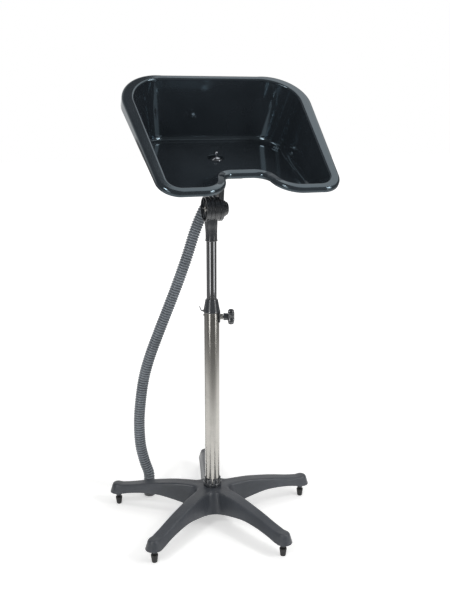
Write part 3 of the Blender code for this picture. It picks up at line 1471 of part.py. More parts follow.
def make_basin():
    """Moulded bowl with a rolled rim, a skirt, a neck recess and screw bosses below."""
    basin = place("basin", basin_skin_mesh(), BASIN, GLOSS_BLACK)
    shell = basin.modifiers.new("wall", "SOLIDIFY")
    shell.thickness = BASIN_WALL
    shell.offset = -1
    shell.use_even_offset = True
    for k, spot in enumerate(screw_places()):
        bottom = plate_centre().z + GAP
        boss = rod_mesh("boss", SCREW_BOSS_RADIUS, bottom, -SCREW_BOSS_SINK, TINY_STEPS)
        join(basin, place(f"screw_boss_{k}", boss, DRAIN, GLOSS_BLACK, location=spot))
        hole = rod_mesh(
            "hole",
            SCREW_RADIUS + SCREW_CLEARANCE,
            bottom - OVERRUN,
            plate_centre().z + SCREW_REACH + GAP,
            TINY_STEPS,
        )
        cut(basin, place(f"screw_hole_{k}", hole, DRAIN, GLOSS_BLACK, location=spot))


def make_drain():
    """Flange with its strainer, gasket, locknut, tailpiece and hose nut, down one axis."""
    seat = -SEAT_DEPTH + GAP
    profile = [
        (FLANGE_RADIUS - FLANGE_RISE, FLANGE_RISE),
        (FLANGE_RADIUS, 0),
        (FLANGE_RADIUS, seat),
        (FLANGE_NECK, seat),
        (FLANGE_NECK, -FLANGE_NECK_END),
        (FLANGE_BORE, -FLANGE_NECK_END),
        (FLANGE_BORE, FLANGE_RISE),
    ]
    flange = turned("drain_flange", profile, DRAIN, CHROME, SMALL_STEPS)
    for k in range(STRAINER_BARS):
        size = (2 * FLANGE_NECK, STRAINER_BAR, STRAINER_BAR)
        bar = box_mesh("bar", size, (0, 0, -STRAINER_DROP - STRAINER_BAR))
        turn = (0, 0, pi * k / STRAINER_BARS)
        share = (FLANGE_NECK + FLANGE_BORE) / 2 / FLANGE_NECK
        bar.transform(Matrix.Scale(share, 4, Vector((1, 0, 0))))
        join(flange, place(f"strainer_bar_{k}", bar, DRAIN, CHROME, turn=turn))
    under = -SEAT_DEPTH - BASIN_WALL - GAP
    bore = FLANGE_NECK + GAP
    profile = [
        (GASKET_RADIUS, under),
        (GASKET_RADIUS, under - GASKET_THICKNESS),
        (bore, under - GASKET_THICKNESS),
        (bore, under),
    ]
    turned("drain_gasket", profile, DRAIN, RUBBER, SMALL_STEPS)
    top = under - GASKET_THICKNESS - GAP
    bottom = top - LOCKNUT_HEIGHT
    mesh = prism_mesh("drain_locknut", polygon(8, LOCKNUT_HALF_FLATS), bottom, top)
    nut = place("drain_locknut", mesh, DRAIN, SATIN_BLACK)
    hole = rod_mesh("hole", bore, bottom - OVERRUN, top + OVERRUN)
    cut(nut, place("locknut_bore", hole, DRAIN, SATIN_BLACK))
    make_tailpiece(bore)


def make_tailpiece(bore):
    """Tailpiece screwed on the flange's neck, and the nut that holds the hose to it."""
    neck_end = -FLANGE_NECK_END - GAP
    profile = [
        (TAIL_SOCKET_RADIUS, -TAIL_SOCKET_START),
        (TAIL_SOCKET_RADIUS, -TAIL_SHOULDER),
        (TAIL_RADIUS, -TAIL_SHOULDER - (TAIL_SOCKET_RADIUS - TAIL_RADIUS) / 2),
        (TAIL_RADIUS, -TAIL_END),
        (TAIL_BORE, -TAIL_END),
        (TAIL_BORE, neck_end),
        (bore, neck_end),
        (bore, -TAIL_SOCKET_START),
    ]
    turned("tailpiece", profile, DRAIN, SATIN_BLACK, SMALL_STEPS)
    count = HOSE_NUT_GRIPS * 4
    rings = []
    for height in (-HOSE_NUT_END, -HOSE_NUT_START):
        ring = []
        for k in range(count):
            angle = 2 * pi * k / count
            radius = HOSE_NUT_RADIUS - (HOSE_NUT_GRIP_DEPTH if k % 4 == 0 else 0)
            ring.append((radius * cos(angle), radius * sin(angle), height))
        rings.append(ring)
    nut = place("hose_nut", loft_mesh("hose_nut", rings), DRAIN, SATIN_BLACK)
    hole = rod_mesh(
        "hole", TAIL_RADIUS + GAP, -HOSE_NUT_END - OVERRUN, -HOSE_NUT_START + OVERRUN
    )
    cut(nut, place("hose_nut_bore", hole, DRAIN, SATIN_BLACK))


def make_stopper():
    """Stopper with a ball knob, which lifts out of the drain."""
    bottom = FLANGE_RISE + GAP
    disc = bottom + STOPPER_DISC
    knob = STOPPER_KNOB_HEIGHT
    profile = [(0, knob + STOPPER_KNOB_RADIUS)]
    for k in range(1, 6):
        angle = pi / 2 - k * pi / 7
        spot = (STOPPER_KNOB_RADIUS * cos(angle), knob + STOPPER_KNOB_RADIUS * sin(angle))
        profile.append(spot)
    profile += [
        (STOPPER_STEM_RADIUS, disc + STOPPER_DISC),
        (STOPPER_RADIUS - STOPPER_DISC, disc),
        (STOPPER_RADIUS, disc - STOPPER_DISC / 2),
        (STOPPER_RADIUS, bottom),
        (STOPPER_PLUG_RADIUS, bottom),
        (STOPPER_PLUG_RADIUS - STOPPER_DISC / 2, bottom - STOPPER_PLUG),
        (0, bottom - STOPPER_PLUG),
    ]
    turned("drain_stopper", profile, DRAIN, CHROME, SMALL_STEPS, solid=True)


def hose_route():
    """Return the hose's centre line as a fine polyline, in world coordinates."""
    start = DRAIN_WORLD @ Vector((0, 0, -HOSE_NUT_END - GAP))
    lead = DRAIN_WORLD @ Vector((0, 0, -HOSE_NUT_END - GAP - HOSE_LEAD))
    stand = Vector((COLUMN_X, COLUMN_Y, 0))
    route = [start, lead]
    route += [Vector(p) + stand for p in HOSE_ROUTE]
    end = Vector((HOSE_END_X, HOSE_END_Y, CUFF_FLOOR_GAP + CUFF_LENGTH + GAP)) + stand
    route += [end + Vector((0, 0, HOSE_LEAD)), end]
    tangents = []
    for i in range(len(route)):
        before, after = route[max(i - 1, 0)], route[min(i + 1, len(route) - 1)]
        tangents.append((after - before).normalized())
    tangents[1] = tangents[0]
    tangents[-2] = tangents[-1]
    fine = [start]
    for i in range(len(route) - 1):
        reach = (route[i + 1] - route[i]).length / 3
        handles = (route[i] + tangents[i] * reach, route[i + 1] - tangents[i + 1] * reach)
        bend = interpolate_bezier(route[i], *handles, route[i + 1], HOSE_SMOOTH_STEPS)
        fine += bend[1:]
    return fine


def evenly(points, count):
    """Return this many points at equal steps along a polyline."""
    lengths = [0.0]
    for a, b in zip(points, points[1:]):
        lengths.append(lengths[-1] + (b - a).length)
    found, at = [], 0
    for k in range(count):
        wanted = lengths[-1] * k / (count - 1)
        while at < len(points) - 2 and lengths[at + 1] < wanted:
            at += 1
        share = (wanted - lengths[at]) / (lengths[at + 1] - lengths[at])
        found.append(points[at].lerp(points[at + 1], share))
    return found


def make_hose():
    """Ribbed drain hose with its bore, and the plain cuff at its lower end."""
    route = hose_route()
    ribs = evenly(route, 2 * HOSE_RIBS)
    radii = [1.0 if k % 2 else HOSE_VALLEY_RADIUS / HOSE_RADIUS for k in range(len(ribs))]
    hose = place(
        "drain_hose",
        mesh_of_curve(tube_curve("hose", ribs, HOSE_RADIUS, radii)),
        None,
        HOSE_GREY,
    )
    bore_line = evenly(route, HOSE_BORE_POINTS)
    first, last = bore_line[0], bore_line[-1]
    bore_line[0] = first + (first - bore_line[1]).normalized() * OVERRUN
    bore_line[-1] = last + (last - bore_line[-2]).normalized() * OVERRUN
    bore = mesh_of_curve(tube_curve("bore", bore_line, HOSE_BORE_RADIUS))
    cut(hose, place("hose_bore", bore, None, HOSE_GREY))
    profile = [
        (CUFF_RADIUS, CUFF_FLOOR_GAP + CUFF_LENGTH),
        (CUFF_RADIUS, CUFF_FLOOR_GAP),
        (HOSE_BORE_RADIUS, CUFF_FLOOR_GAP),
        (HOSE_BORE_RADIUS, CUFF_FLOOR_GAP + CUFF_LENGTH),
    ]
    where = (COLUMN_X + HOSE_END_X, COLUMN_Y + HOSE_END_Y, 0)
    turned("hose_cuff", profile, None, SATIN_BLACK, SMALL_STEPS, location=where)


ALONG_X = (0, pi / 2, 0)
STAND = make_empty("column_axis", None, (COLUMN_X, COLUMN_Y, 0))
BASE = make_empty("base_axis", STAND, turn=(0, 0, FIRST_ARM_AZIMUTH))
CLAMP = make_empty("clamp_axis", STAND, (0, 0, TUBE_TOP - CLAMP_DROP), (0, pi / 2, CLAMP_AZIMUTH))
RIVET = make_empty("rivet_axis", STAND, (0, 0, TUBE_TOP - RIVET_DROP), (0, pi / 2, HOOK_AZIMUTH))
TILT = make_empty("tilt_axis", STAND, (0, 0, TILT_HEIGHT))
PIVOT = make_empty("pivot_axis", TILT, turn=ALONG_X)
SET_SCREW = make_empty("set_screw_axis", TILT, (0, 0, -SET_SCREW_DROP), (0, pi / 2, pi / 2))
BASIN = make_empty("basin_frame", TILT, (BASIN_SHIFT, 0, 0), (BASIN_TILT, 0, 0))
DRAIN = make_empty("drain_axis", BASIN, (DRAIN_SIDE, DRAIN_BACK, DRAIN_HEIGHT), (-FLOOR_SLOPE, 0, 0))
BASIN_IN_TILT = Matrix.Translation((BASIN_SHIFT, 0, 0)) @ Matrix.Rotation(BASIN_TILT, 4, "X")
DRAIN_IN_BASIN = Matrix.Translation(
    (DRAIN_SIDE, DRAIN_BACK, DRAIN_HEIGHT)
) @ Matrix.Rotation(-FLOOR_SLOPE, 4, "X")
DRAIN_FRAME = BASIN_IN_TILT @ DRAIN_IN_BASIN
DRAIN_WORLD = Matrix.Translation((COLUMN_X, COLUMN_Y, TILT_HEIGHT)) @ DRAIN_FRAME


def build():
    """Make every piece."""
    make_star_base()
    make_glides()
    make_base_ring()
    make_outer_tube()
    make_tube_foot()
    make_collar()
    make_rivet()
    make_clamp()
    make_mast()
    make_socket()
    make_set_screw()
    make_pivot()
    make_gear()
    make_button()
    make_bracket()
    make_bracket_screws()
    make_basin()
    make_drain()
    make_stopper()
    make_hose()


build()
print("hose length", round(sum((b - a).length for a, b in zip(hose_route(), hose_route()[1:])), 4))
print("floor tilt", round(degrees(BASIN_TILT - FLOOR_SLOPE), 2))
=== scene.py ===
"""Portable shampoo basin on a five-arm stand: the dressed model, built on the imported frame."""

import logging
from collections.abc import Iterable, Sequence
from dataclasses import dataclass
from enum import Enum
from math import atan2, cos, pi, radians, sin, tan

import bmesh
import bpy
from mathutils import Euler, Matrix, Vector
from mathutils.geometry import interpolate_bezier


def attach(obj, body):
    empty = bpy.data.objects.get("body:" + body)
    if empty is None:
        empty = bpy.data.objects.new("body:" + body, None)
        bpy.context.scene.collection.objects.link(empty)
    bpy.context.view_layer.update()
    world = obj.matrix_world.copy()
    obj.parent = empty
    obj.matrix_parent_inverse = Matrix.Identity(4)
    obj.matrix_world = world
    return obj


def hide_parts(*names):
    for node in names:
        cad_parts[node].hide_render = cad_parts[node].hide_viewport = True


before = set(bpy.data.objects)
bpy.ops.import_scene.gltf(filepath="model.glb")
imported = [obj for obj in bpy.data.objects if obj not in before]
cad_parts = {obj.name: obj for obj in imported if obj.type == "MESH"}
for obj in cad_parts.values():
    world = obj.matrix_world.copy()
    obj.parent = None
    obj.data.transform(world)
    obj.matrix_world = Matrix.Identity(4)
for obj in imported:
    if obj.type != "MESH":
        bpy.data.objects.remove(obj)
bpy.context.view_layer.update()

LOG = logging.getLogger("shampoo_basin")

Pair = tuple[float, float]
Triple = tuple[float, float, float]

# Clearance between touching pieces, and the length under which a corner is one point
GAP = 0.0003
MERGE = 0.00001

# Where the pieces' own frames stand
COLUMN_FOOT = Vector((-0.018, -0.008, 0.0))
TILT_HEIGHT = 0.812
CLAMP_HEIGHT = 0.543
STAND = Matrix.Translation(COLUMN_FOOT)


def standing(place: Sequence[float], turn: Sequence[float] = (0.0, 0.0, 0.0)) -> Matrix:
    """Return the frame with this place and these turns about X, Y and Z.

    Args:
        place: The frame's origin in metres.
        turn: The angles in radians.

    Returns:
        A four by four matrix.
    """
    return Matrix.Translation(place) @ Euler(turn).to_matrix().to_4x4()


FOOT_FRAME = STAND @ standing((0, 0, 0), (0, 0, radians(5.4)))
CLAMP_FRAME = STAND @ standing((0, 0, CLAMP_HEIGHT), (0, pi / 2, radians(-18)))
HOOK_FRAME = STAND @ standing((0, 0, 0), (0, 0, radians(162)))
RIVET_FRAME = STAND @ standing((0, 0, 0.548), (0, pi / 2, radians(162)))
TILT_FRAME = STAND @ standing((0, 0, TILT_HEIGHT))
PIVOT_FRAME = TILT_FRAME @ standing((0, 0, 0), (0, pi / 2, 0))
BOWL_FRAME = TILT_FRAME @ standing((0.028, 0, 0), (radians(36.2), 0, 0))
DRAIN_IN_BOWL = standing((-0.007, 0.0953, 0.0777), (radians(-18.2), 0, 0))
DRAIN_FRAME = BOWL_FRAME @ DRAIN_IN_BOWL


class Slot(Enum):
    """The material slots."""

    FOOT = "base_moulding"
    SATIN = "satin_black"
    BOWL = "bowl_moulding"
    HOSE = "hose_plastic"
    COLUMN = "column_steel"
    MAST = "chrome_tube"
    DRAIN = "chrome_drain"
    HARDWARE = "hardware_steel"
    NYLON = "nylon"
    RUBBER = "black_rubber"


class Rides(Enum):
    """The bodies that pieces ride on."""

    STAND = "stand"
    KNOB = "knob"
    MAST = "mast"
    HEAD = "head"
    RELEASE = "release"
    STOPPER = "stopper"


# ---------------------------------------------------------------- node trees


class Wiring:
    """A node tree that is being laid out."""

    def __init__(self, tree: bpy.types.NodeTree) -> None:
        """Take the tree.

        Args:
            tree: The node tree to add to.
        """
        self.tree = tree

    def node(
        self,
        kind: str,
        inputs: dict[str | int, object] | None = None,
        **settings: object,
    ) -> bpy.types.Node:
        """Add a node, and set or link its inputs.

        Args:
            kind: The node's type name.
            inputs: A value or an output socket for each named or numbered input.
            settings: Attributes of the node.

        Returns:
            The new node.
        """
        made = self.tree.nodes.new(kind)
        for key, value in settings.items():
            setattr(made, key, value)
        for key, value in (inputs or {}).items():
            if isinstance(value, bpy.types.NodeSocket):
                self.tree.links.new(value, made.inputs[key])
            else:
                made.inputs[key].default_value = value
        return made

    def maths(self, operation: str, *values: object) -> bpy.types.NodeSocket:
        """Add a Math node and return its output.

        Args:
            operation: The node's operation.
            values: A number or a socket for each input.

        Returns:
            The output socket.
        """
        node = self.node("ShaderNodeMath", dict(enumerate(values)), operation=operation)
        return node.outputs[0]

    def spread(
        self, value: bpy.types.NodeSocket, low: Pair, high: Pair
    ) -> bpy.types.NodeSocket:
        """Return a value mapped from one range to another.

        Args:
            value: The socket to map.
            low: Where the input range starts, and what it becomes.
            high: Where the input range ends, and what it becomes.

        Returns:
            The mapped output socket.
        """
        node = self.node(
            "ShaderNodeMapRange",
            {"Value": value, 1: low[0], 2: high[0], 3: low[1], 4: high[1]},
        )
        return node.outputs[0]

    def blend(
        self, share: object, first: object, second: object
    ) -> bpy.types.NodeSocket:
        """Return a mix of two colours.

        Args:
            share: How much of the second colour there is.
            first: The first colour or its socket.
            second: The second colour or its socket.

        Returns:
            The mixed colour's socket.
        """
        node = self.tree.nodes.new("ShaderNodeMix")
        node.data_type = "RGBA"
        for socket, value in zip((node.inputs[0], node.inputs[6], node.inputs[7]),
                                 (share, first, second)):
            if isinstance(value, bpy.types.NodeSocket):
                self.tree.links.new(value, socket)
            else:
                socket.default_value = value
        return node.outputs[2]

    def group(self, tree: bpy.types.NodeTree, inputs: dict[str, object]) -> bpy.types.Node:
        """Place a node group.

        Args:
            tree: The group's tree.
            inputs: A value or a socket for each named input.

        Returns:
            The group node.
        """
        node = self.tree.nodes.new("ShaderNodeGroup")
        node.node_tree = tree
        for key, value in inputs.items():
            if isinstance(value, bpy.types.NodeSocket):
                self.tree.links.new(value, node.inputs[key])
            else:
                node.inputs[key].default_value = value
        return node


def new_group(
    name: str,
    inputs: dict[str, tuple[str, object]],
    outputs: dict[str, str],
) -> tuple[Wiring, bpy.types.Node, bpy.types.Node]:
    """Start a shader node group.

    Args:
        name: The group's name.
        inputs: The socket type and the default of each input.
        outputs: The socket type of each output.

    Returns:
        The wiring, the group's input node and its output node.
    """
    tree = bpy.data.node_groups.new(name, "ShaderNodeTree")
    for key, (kind, default) in inputs.items():
        socket = tree.interface.new_socket(key, in_out="INPUT", socket_type=kind)
        if default is not None:
            socket.default_value = default
    for key, kind in outputs.items():
        tree.interface.new_socket(key, in_out="OUTPUT", socket_type=kind)
    wiring = Wiring(tree)
    return wiring, wiring.node("NodeGroupInput"), wiring.node("NodeGroupOutput")


class Effects:
    """The surface effects that several finishes share, each built once."""

    def __init__(self) -> None:
        """Build the node groups."""
        self.grain = self._grain()
        self.drawn = self._drawn()
        # The wear group gives the real rubbed-edge mask and also the mask of painted shade in
        # creases.
        self.wear = self._wear_and_crease_shade()
        self.film = self._film()

    @staticmethod
    def _grain() -> bpy.types.NodeTree:
        """Return the fine mould texture with its slow drift of shade."""
        wiring, given, out = new_group(
            "mould_grain",
            {
                "Position": ("NodeSocketVector", None),
                "Fine Scale": ("NodeSocketFloat", 900.0),
                "Drift Scale": ("NodeSocketFloat", 9.0),
            },
            {"Height": "NodeSocketFloat", "Drift": "NodeSocketFloat"},
        )
        fine = wiring.node(
            "ShaderNodeTexNoise",
            {"Vector": given.outputs["Position"], "Scale": given.outputs["Fine Scale"],
             "Detail": 3.0, "Roughness": 0.6},
        )
        cells = wiring.node(
            "ShaderNodeTexVoronoi",
            {"Vector": given.outputs["Position"], "Scale": given.outputs["Fine Scale"]},
        )
        height = wiring.maths("MULTIPLY_ADD", cells.outputs["Distance"], 0.5, fine.outputs[0])
        drift = wiring.node(
            "ShaderNodeTexNoise",
            {"Vector": given.outputs["Position"], "Scale": given.outputs["Drift Scale"],
             "Detail": 5.0, "Roughness": 0.55, "Distortion": 0.4},
        )
        wiring.tree.links.new(height, out.inputs["Height"])
        eased = wiring.spread(drift.outputs[0], (0.3, 0.0), (0.7, 1.0))
        wiring.tree.links.new(eased, out.inputs["Drift"])
        return wiring.tree

    @staticmethod
    def _drawn() -> bpy.types.NodeTree:
        """Return the fine lines that drawing and polishing leave along a tube."""
        wiring, given, out = new_group(
            "drawn_lines",
            {
                "Position": ("NodeSocketVector", None),
                "Across": ("NodeSocketFloat", 1400.0),
                "Along": ("NodeSocketFloat", 9.0),
            },
            {"Height": "NodeSocketFloat", "Streak": "NodeSocketFloat"},
        )
        stretch = wiring.node(
            "ShaderNodeCombineXYZ",
            {0: given.outputs["Across"], 1: given.outputs["Across"], 2: given.outputs["Along"]},
        )
        pulled = wiring.node(
            "ShaderNodeVectorMath",
            {0: given.outputs["Position"], 1: stretch.outputs[0]},
            operation="MULTIPLY",
        )
        lines = wiring.node(
            "ShaderNodeTexNoise",
            {"Vector": pulled.outputs[0], "Scale": 1.0, "Detail": 4.0, "Roughness": 0.6},
        )
        wide = wiring.node(
            "ShaderNodeVectorMath",
            {0: pulled.outputs[0], 1: (0.12, 0.12, 0.35)},
            operation="MULTIPLY",
        )
        streak = wiring.node(
            "ShaderNodeTexNoise",
            {"Vector": wide.outputs[0], "Scale": 1.0, "Detail": 3.0, "Roughness": 0.5},
        )
        wiring.tree.links.new(lines.outputs[0], out.inputs["Height"])
        eased = wiring.spread(streak.outputs[0], (0.32, 0.0), (0.68, 1.0))
        wiring.tree.links.new(eased, out.inputs["Streak"])
        return wiring.tree

    @staticmethod
    def _wear_and_crease_shade() -> bpy.types.NodeTree:
        """Return the masks of rubbed edges and of painted crease shade, which darkens hollows."""
        wiring, given, out = new_group(
            "rubbed_edges_and_crease_shade",
            {
                "Position": ("NodeSocketVector", None),
                "Scale": ("NodeSocketFloat", 160.0),
                "Reach": ("NodeSocketFloat", 0.55),
            },
            {"Mask": "NodeSocketFloat", "Crease Shade": "NodeSocketFloat"},
        )
        shape = wiring.node("ShaderNodeNewGeometry")
        # Painted shade: this mask rises where the surface is hollow, so that creases and rib
        # valleys are darkened.
        crease = wiring.spread(shape.outputs["Pointiness"], (0.498, 0.0), (0.460, 1.0))
        wiring.tree.links.new(crease, out.inputs["Crease Shade"])
        edge = wiring.node(
            "ShaderNodeMapRange",
            {"Value": shape.outputs["Pointiness"], 1: 0.5, 2: given.outputs["Reach"]},
        )
        broken = wiring.node(
            "ShaderNodeTexNoise",
            {"Vector": given.outputs["Position"], "Scale": given.outputs["Scale"],
             "Detail": 4.0},
        )
        eased = wiring.spread(broken.outputs[0], (0.42, 0.0), (0.66, 1.0))
        mask = wiring.maths("MULTIPLY", edge.outputs[0], eased)
        wiring.tree.links.new(mask, out.inputs["Mask"])
        return wiring.tree

    @staticmethod
    def _film() -> bpy.types.NodeTree:
        """Return the mask of the thin dust film and wipe marks on faces that look up."""
        wiring, given, out = new_group(
            "dust_film",
            {
                "Position": ("NodeSocketVector", None),
                "Scale": ("NodeSocketFloat", 14.0),
            },
            {"Mask": "NodeSocketFloat"},
        )
        shape = wiring.node("ShaderNodeNewGeometry")
        parts = wiring.node("ShaderNodeSeparateXYZ", {0: shape.outputs["Normal"]})
        facing = wiring.spread(parts.outputs[2], (0.1, 0.15), (0.9, 1.0))
        smear = wiring.node(
            "ShaderNodeTexNoise",
            {"Vector": given.outputs["Position"], "Scale": given.outputs["Scale"],
             "Detail": 6.0, "Roughness": 0.62, "Distortion": 1.2},
        )
        eased = wiring.spread(smear.outputs[0], (0.38, 0.0), (0.72, 1.0))
        wiring.tree.links.new(wiring.maths("MULTIPLY", facing, eased), out.inputs["Mask"])
        return wiring.tree


EFFECTS = Effects()


# ---------------------------------------------------------------- finishes


def start_material(name: str) -> tuple[bpy.types.Material, Wiring, bpy.types.Node]:
    """Start a node material.

    Args:
        name: The material's name.

    Returns:
        The material, its wiring and its shader.
    """
    material = bpy.data.materials.new(name)
    material.use_nodes = True
    wiring = Wiring(material.node_tree)
    return material, wiring, material.node_tree.nodes["Principled BSDF"]


def lighter(colour: Triple, factor: float) -> tuple[float, float, float, float]:
    """Return a colour scaled by a factor, with its alpha.

    Args:
        colour: Red, green and blue.
        factor: What each is multiplied by.

    Returns:
        The four channels.
    """
    return (colour[0] * factor, colour[1] * factor, colour[2] * factor, 1.0)


@dataclass(frozen=True)
class Plastic:
    """A moulded plastic or rubber surface."""

    name: str
    slot: Slot
    colour: Triple
    roughness: Pair
    grain_scale: float
    grain_depth: float
    wear: float = 0.3
    dust: float = 0.1
    coat: float = 0.0
    coat_roughness: float = 0.1
    drift_scale: float = 9.0
    drift: Pair = (0.8, 1.25)
    sheen: Triple = (1.0, 1.0, 1.0)
    # crease sets how strongly painted shade darkens creases and hollows.
    crease: float = 0.25
    shine: float = 0.5

    def material(self) -> bpy.types.Material:
        """Return the material, built on its first use."""
        known = bpy.data.materials.get(self.name)
        if known:
            return known
        material, wiring, shader = start_material(self.name)
        place = wiring.node("ShaderNodeTexCoord").outputs["Object"]
        grain = wiring.group(
            EFFECTS.grain,
            {"Position": place, "Fine Scale": self.grain_scale,
             "Drift Scale": self.drift_scale},
        )
        wear = wiring.group(EFFECTS.wear, {"Position": place})
        film = wiring.group(EFFECTS.film, {"Position": place})
        drift = grain.outputs["Drift"]
        base = wiring.blend(
            drift, lighter(self.colour, self.drift[0]), lighter(self.colour, self.drift[1])
        )
        rubbed = wiring.maths("MULTIPLY", wear.outputs["Mask"], self.wear)
        worn_colour = tuple(0.5 * c + 0.06 for c in self.colour)
        base = wiring.blend(rubbed, base, lighter(worn_colour, 1.6))
        # Painted shade: creases and hollows are darkened towards a tenth of the colour, by the
        # crease amount.
        crease_shade = wiring.maths("MULTIPLY", wear.outputs["Crease Shade"], self.crease)
        base = wiring.blend(crease_shade, base, lighter(self.colour, 0.12))
        dusty = wiring.maths("MULTIPLY", film.outputs["Mask"], self.dust)
        base = wiring.blend(dusty, base, (0.24, 0.235, 0.225, 1.0))
        low, high = self.roughness
        rough = wiring.spread(drift, (0.0, low), (1.0, high))
        rough = wiring.maths("MULTIPLY_ADD", film.outputs["Mask"], self.dust * 1.2, rough)
        bump = wiring.node(
            "ShaderNodeBump",
            {"Height": grain.outputs["Height"], "Strength": 0.6,
             "Distance": self.grain_depth},
        )
        links = wiring.tree.links
        links.new(base, shader.inputs["Base Color"])
        links.new(rough, shader.inputs["Roughness"])
        links.new(bump.outputs[0], shader.inputs["Normal"])
        shader.inputs["Specular IOR Level"].default_value = self.shine
        shader.inputs["Specular Tint"].default_value = (*self.sheen, 1.0)
        shader.inputs["Coat Weight"].default_value = self.coat
        shader.inputs["Coat Roughness"].default_value = self.coat_roughness
        return material


@dataclass(frozen=True)
class Metal:
    """A drawn, plated or polished metal surface."""

    name: str
    slot: Slot
    colour: Triple
    roughness: Pair
    across: float
    lengthwise: float
    depth: float
    stain: float = 0.12

    def material(self) -> bpy.types.Material:
        """Return the material, built on its first use."""
        known = bpy.data.materials.get(self.name)
        if known:
            return known
        material, wiring, shader = start_material(self.name)
        place = wiring.node("ShaderNodeTexCoord").outputs["Object"]
        lines = wiring.group(
            EFFECTS.drawn,
            {"Position": place, "Across": self.across, "Along": self.lengthwise},
        )
        film = wiring.group(EFFECTS.film, {"Position": place, "Scale": 22.0})
        smudge = wiring.node(
            "ShaderNodeTexNoise",
            {"Vector": place, "Scale": 34.0, "Detail": 5.0, "Roughness": 0.6,
             "Distortion": 0.8},
        )
        smudged = wiring.spread(smudge.outputs[0], (0.45, 0.0), (0.75, 1.0))
        base = wiring.blend(
            lines.outputs["Streak"], lighter(self.colour, 0.9), lighter(self.colour, 1.08)
        )
        stained = wiring.maths("MULTIPLY", smudged, self.stain)
        base = wiring.blend(stained, base, (0.22, 0.205, 0.185, 1.0))
        low, high = self.roughness
        rough = wiring.spread(lines.outputs["Streak"], (0.0, low), (1.0, high))
        rough = wiring.maths("MULTIPLY_ADD", smudged, 0.08, rough)
        rough = wiring.maths("MULTIPLY_ADD", film.outputs["Mask"], 0.05, rough)
        bump = wiring.node(
            "ShaderNodeBump",
            {"Height": lines.outputs["Height"], "Strength": 0.5, "Distance": self.depth},
        )
        links = wiring.tree.links
        links.new(base, shader.inputs["Base Color"])
        links.new(rough, shader.inputs["Roughness"])
        links.new(bump.outputs[0], shader.inputs["Normal"])
        shader.inputs["Metallic"].default_value = 1.0
        return material


BOWL_BLACK = Plastic(
    "polished_black", Slot.BOWL, (0.0195, 0.0240, 0.0290), (0.07, 0.12), 160.0, 0.000012,
    wear=0.10, dust=0.012, drift_scale=5.0, sheen=(0.68, 0.88, 1.0), shine=1.0,
)
FOOT_SLATE = Plastic(
    "slate_moulding", Slot.FOOT, (0.052, 0.058, 0.068), (0.28, 0.40), 260.0, 0.0007,
    wear=0.30, dust=0.03,
)
# Its crease amount paints shade into creases and hollows.
SATIN_BLACK = Plastic(
    "satin_moulding", Slot.SATIN, (0.032, 0.0355, 0.041), (0.16, 0.25), 1100.0, 0.00004,
    wear=0.22, dust=0.04, coat=0.7, coat_roughness=0.12, crease=0.7, shine=0.7,
)
# Its crease amount paints shade into the hose's rib valleys.
HOSE_GREY = Plastic(
    "hose_blue_grey", Slot.HOSE, (0.215, 0.240, 0.268), (0.20, 0.30), 900.0, 0.00005,
    wear=0.30, dust=0.04, drift_scale=16.0, crease=0.92,
)
RUBBER = Plastic(
    "glide_rubber", Slot.RUBBER, (0.012, 0.012, 0.013), (0.45, 0.65), 1500.0, 0.00008,
    wear=0.25, dust=0.12,
)
NYLON = Plastic(
    "natural_nylon", Slot.NYLON, (0.62, 0.60, 0.54), (0.38, 0.5), 1200.0, 0.00004, wear=0.05,
)
COLUMN_STEEL = Metal(
    "drawn_steel", Slot.COLUMN, (0.52, 0.505, 0.475), (0.15, 0.24), 1500.0, 7.0, 0.00002,
)
MAST_CHROME = Metal(
    "chromed_tube", Slot.MAST, (0.36, 0.365, 0.375), (0.05, 0.10), 1800.0, 6.0, 0.000008,
    stain=0.06,
)
DRAIN_CHROME = Metal(
    "chromed_drain", Slot.DRAIN, (0.30, 0.31, 0.33), (0.10, 0.18), 1200.0, 200.0, 0.00001,
    stain=0.08,
)
ZINC_STEEL = Metal(
    "zinced_steel", Slot.HARDWARE, (0.56, 0.55, 0.52), (0.24, 0.36), 900.0, 900.0, 0.00003,
    stain=0.25,
)
Finish = Plastic | Metal


# ---------------------------------------------------------------- shapes


def along(value: float, low: float, high: float, at_low: float, at_high: float) -> float:
    """Return the value's place between low and high, read off between two ends.

    Args:
        value: What is placed.
        low: The start of the range.
        high: The end of the range.
        at_low: The result at the start and before it.
        at_high: The result at the end and after it.

    Returns:
        A number between at_low and at_high.
    """
    share = min(max((value - low) / (high - low), 0.0), 1.0)
    return at_low + share * (at_high - at_low)


def smooth_read(where: Sequence[float], values: Sequence[float], at: float) -> float:
    """Return a value read off a smooth curve through given points.

    Args:
        where: The places of the points, rising.
        values: The value at each place.
        at: The place to read.

    Returns:
        The value there, on a cubic between the neighbours.
    """
    last = len(where) - 1
    at = min(max(at, where[0]), where[-1])
    k = max(i for i in range(last) if where[i] <= at or i == 0)

    def slope(i: int) -> float:
        """Return the curve's slope at a point.

        Args:
            i: The point's number.

        Returns:
            The slope between the point's neighbours.
        """
        low, high = max(i - 1, 0), min(i + 1, last)
        return (values[high] - values[low]) / (where[high] - where[low])

    span = where[k + 1] - where[k]
    t = (at - where[k]) / span
    return (
        (2 * t**3 - 3 * t**2 + 1) * values[k]
        + (t**3 - 2 * t**2 + t) * span * slope(k)
        + (3 * t**2 - 2 * t**3) * values[k + 1]
        + (t**3 - t**2) * span * slope(k + 1)
    )


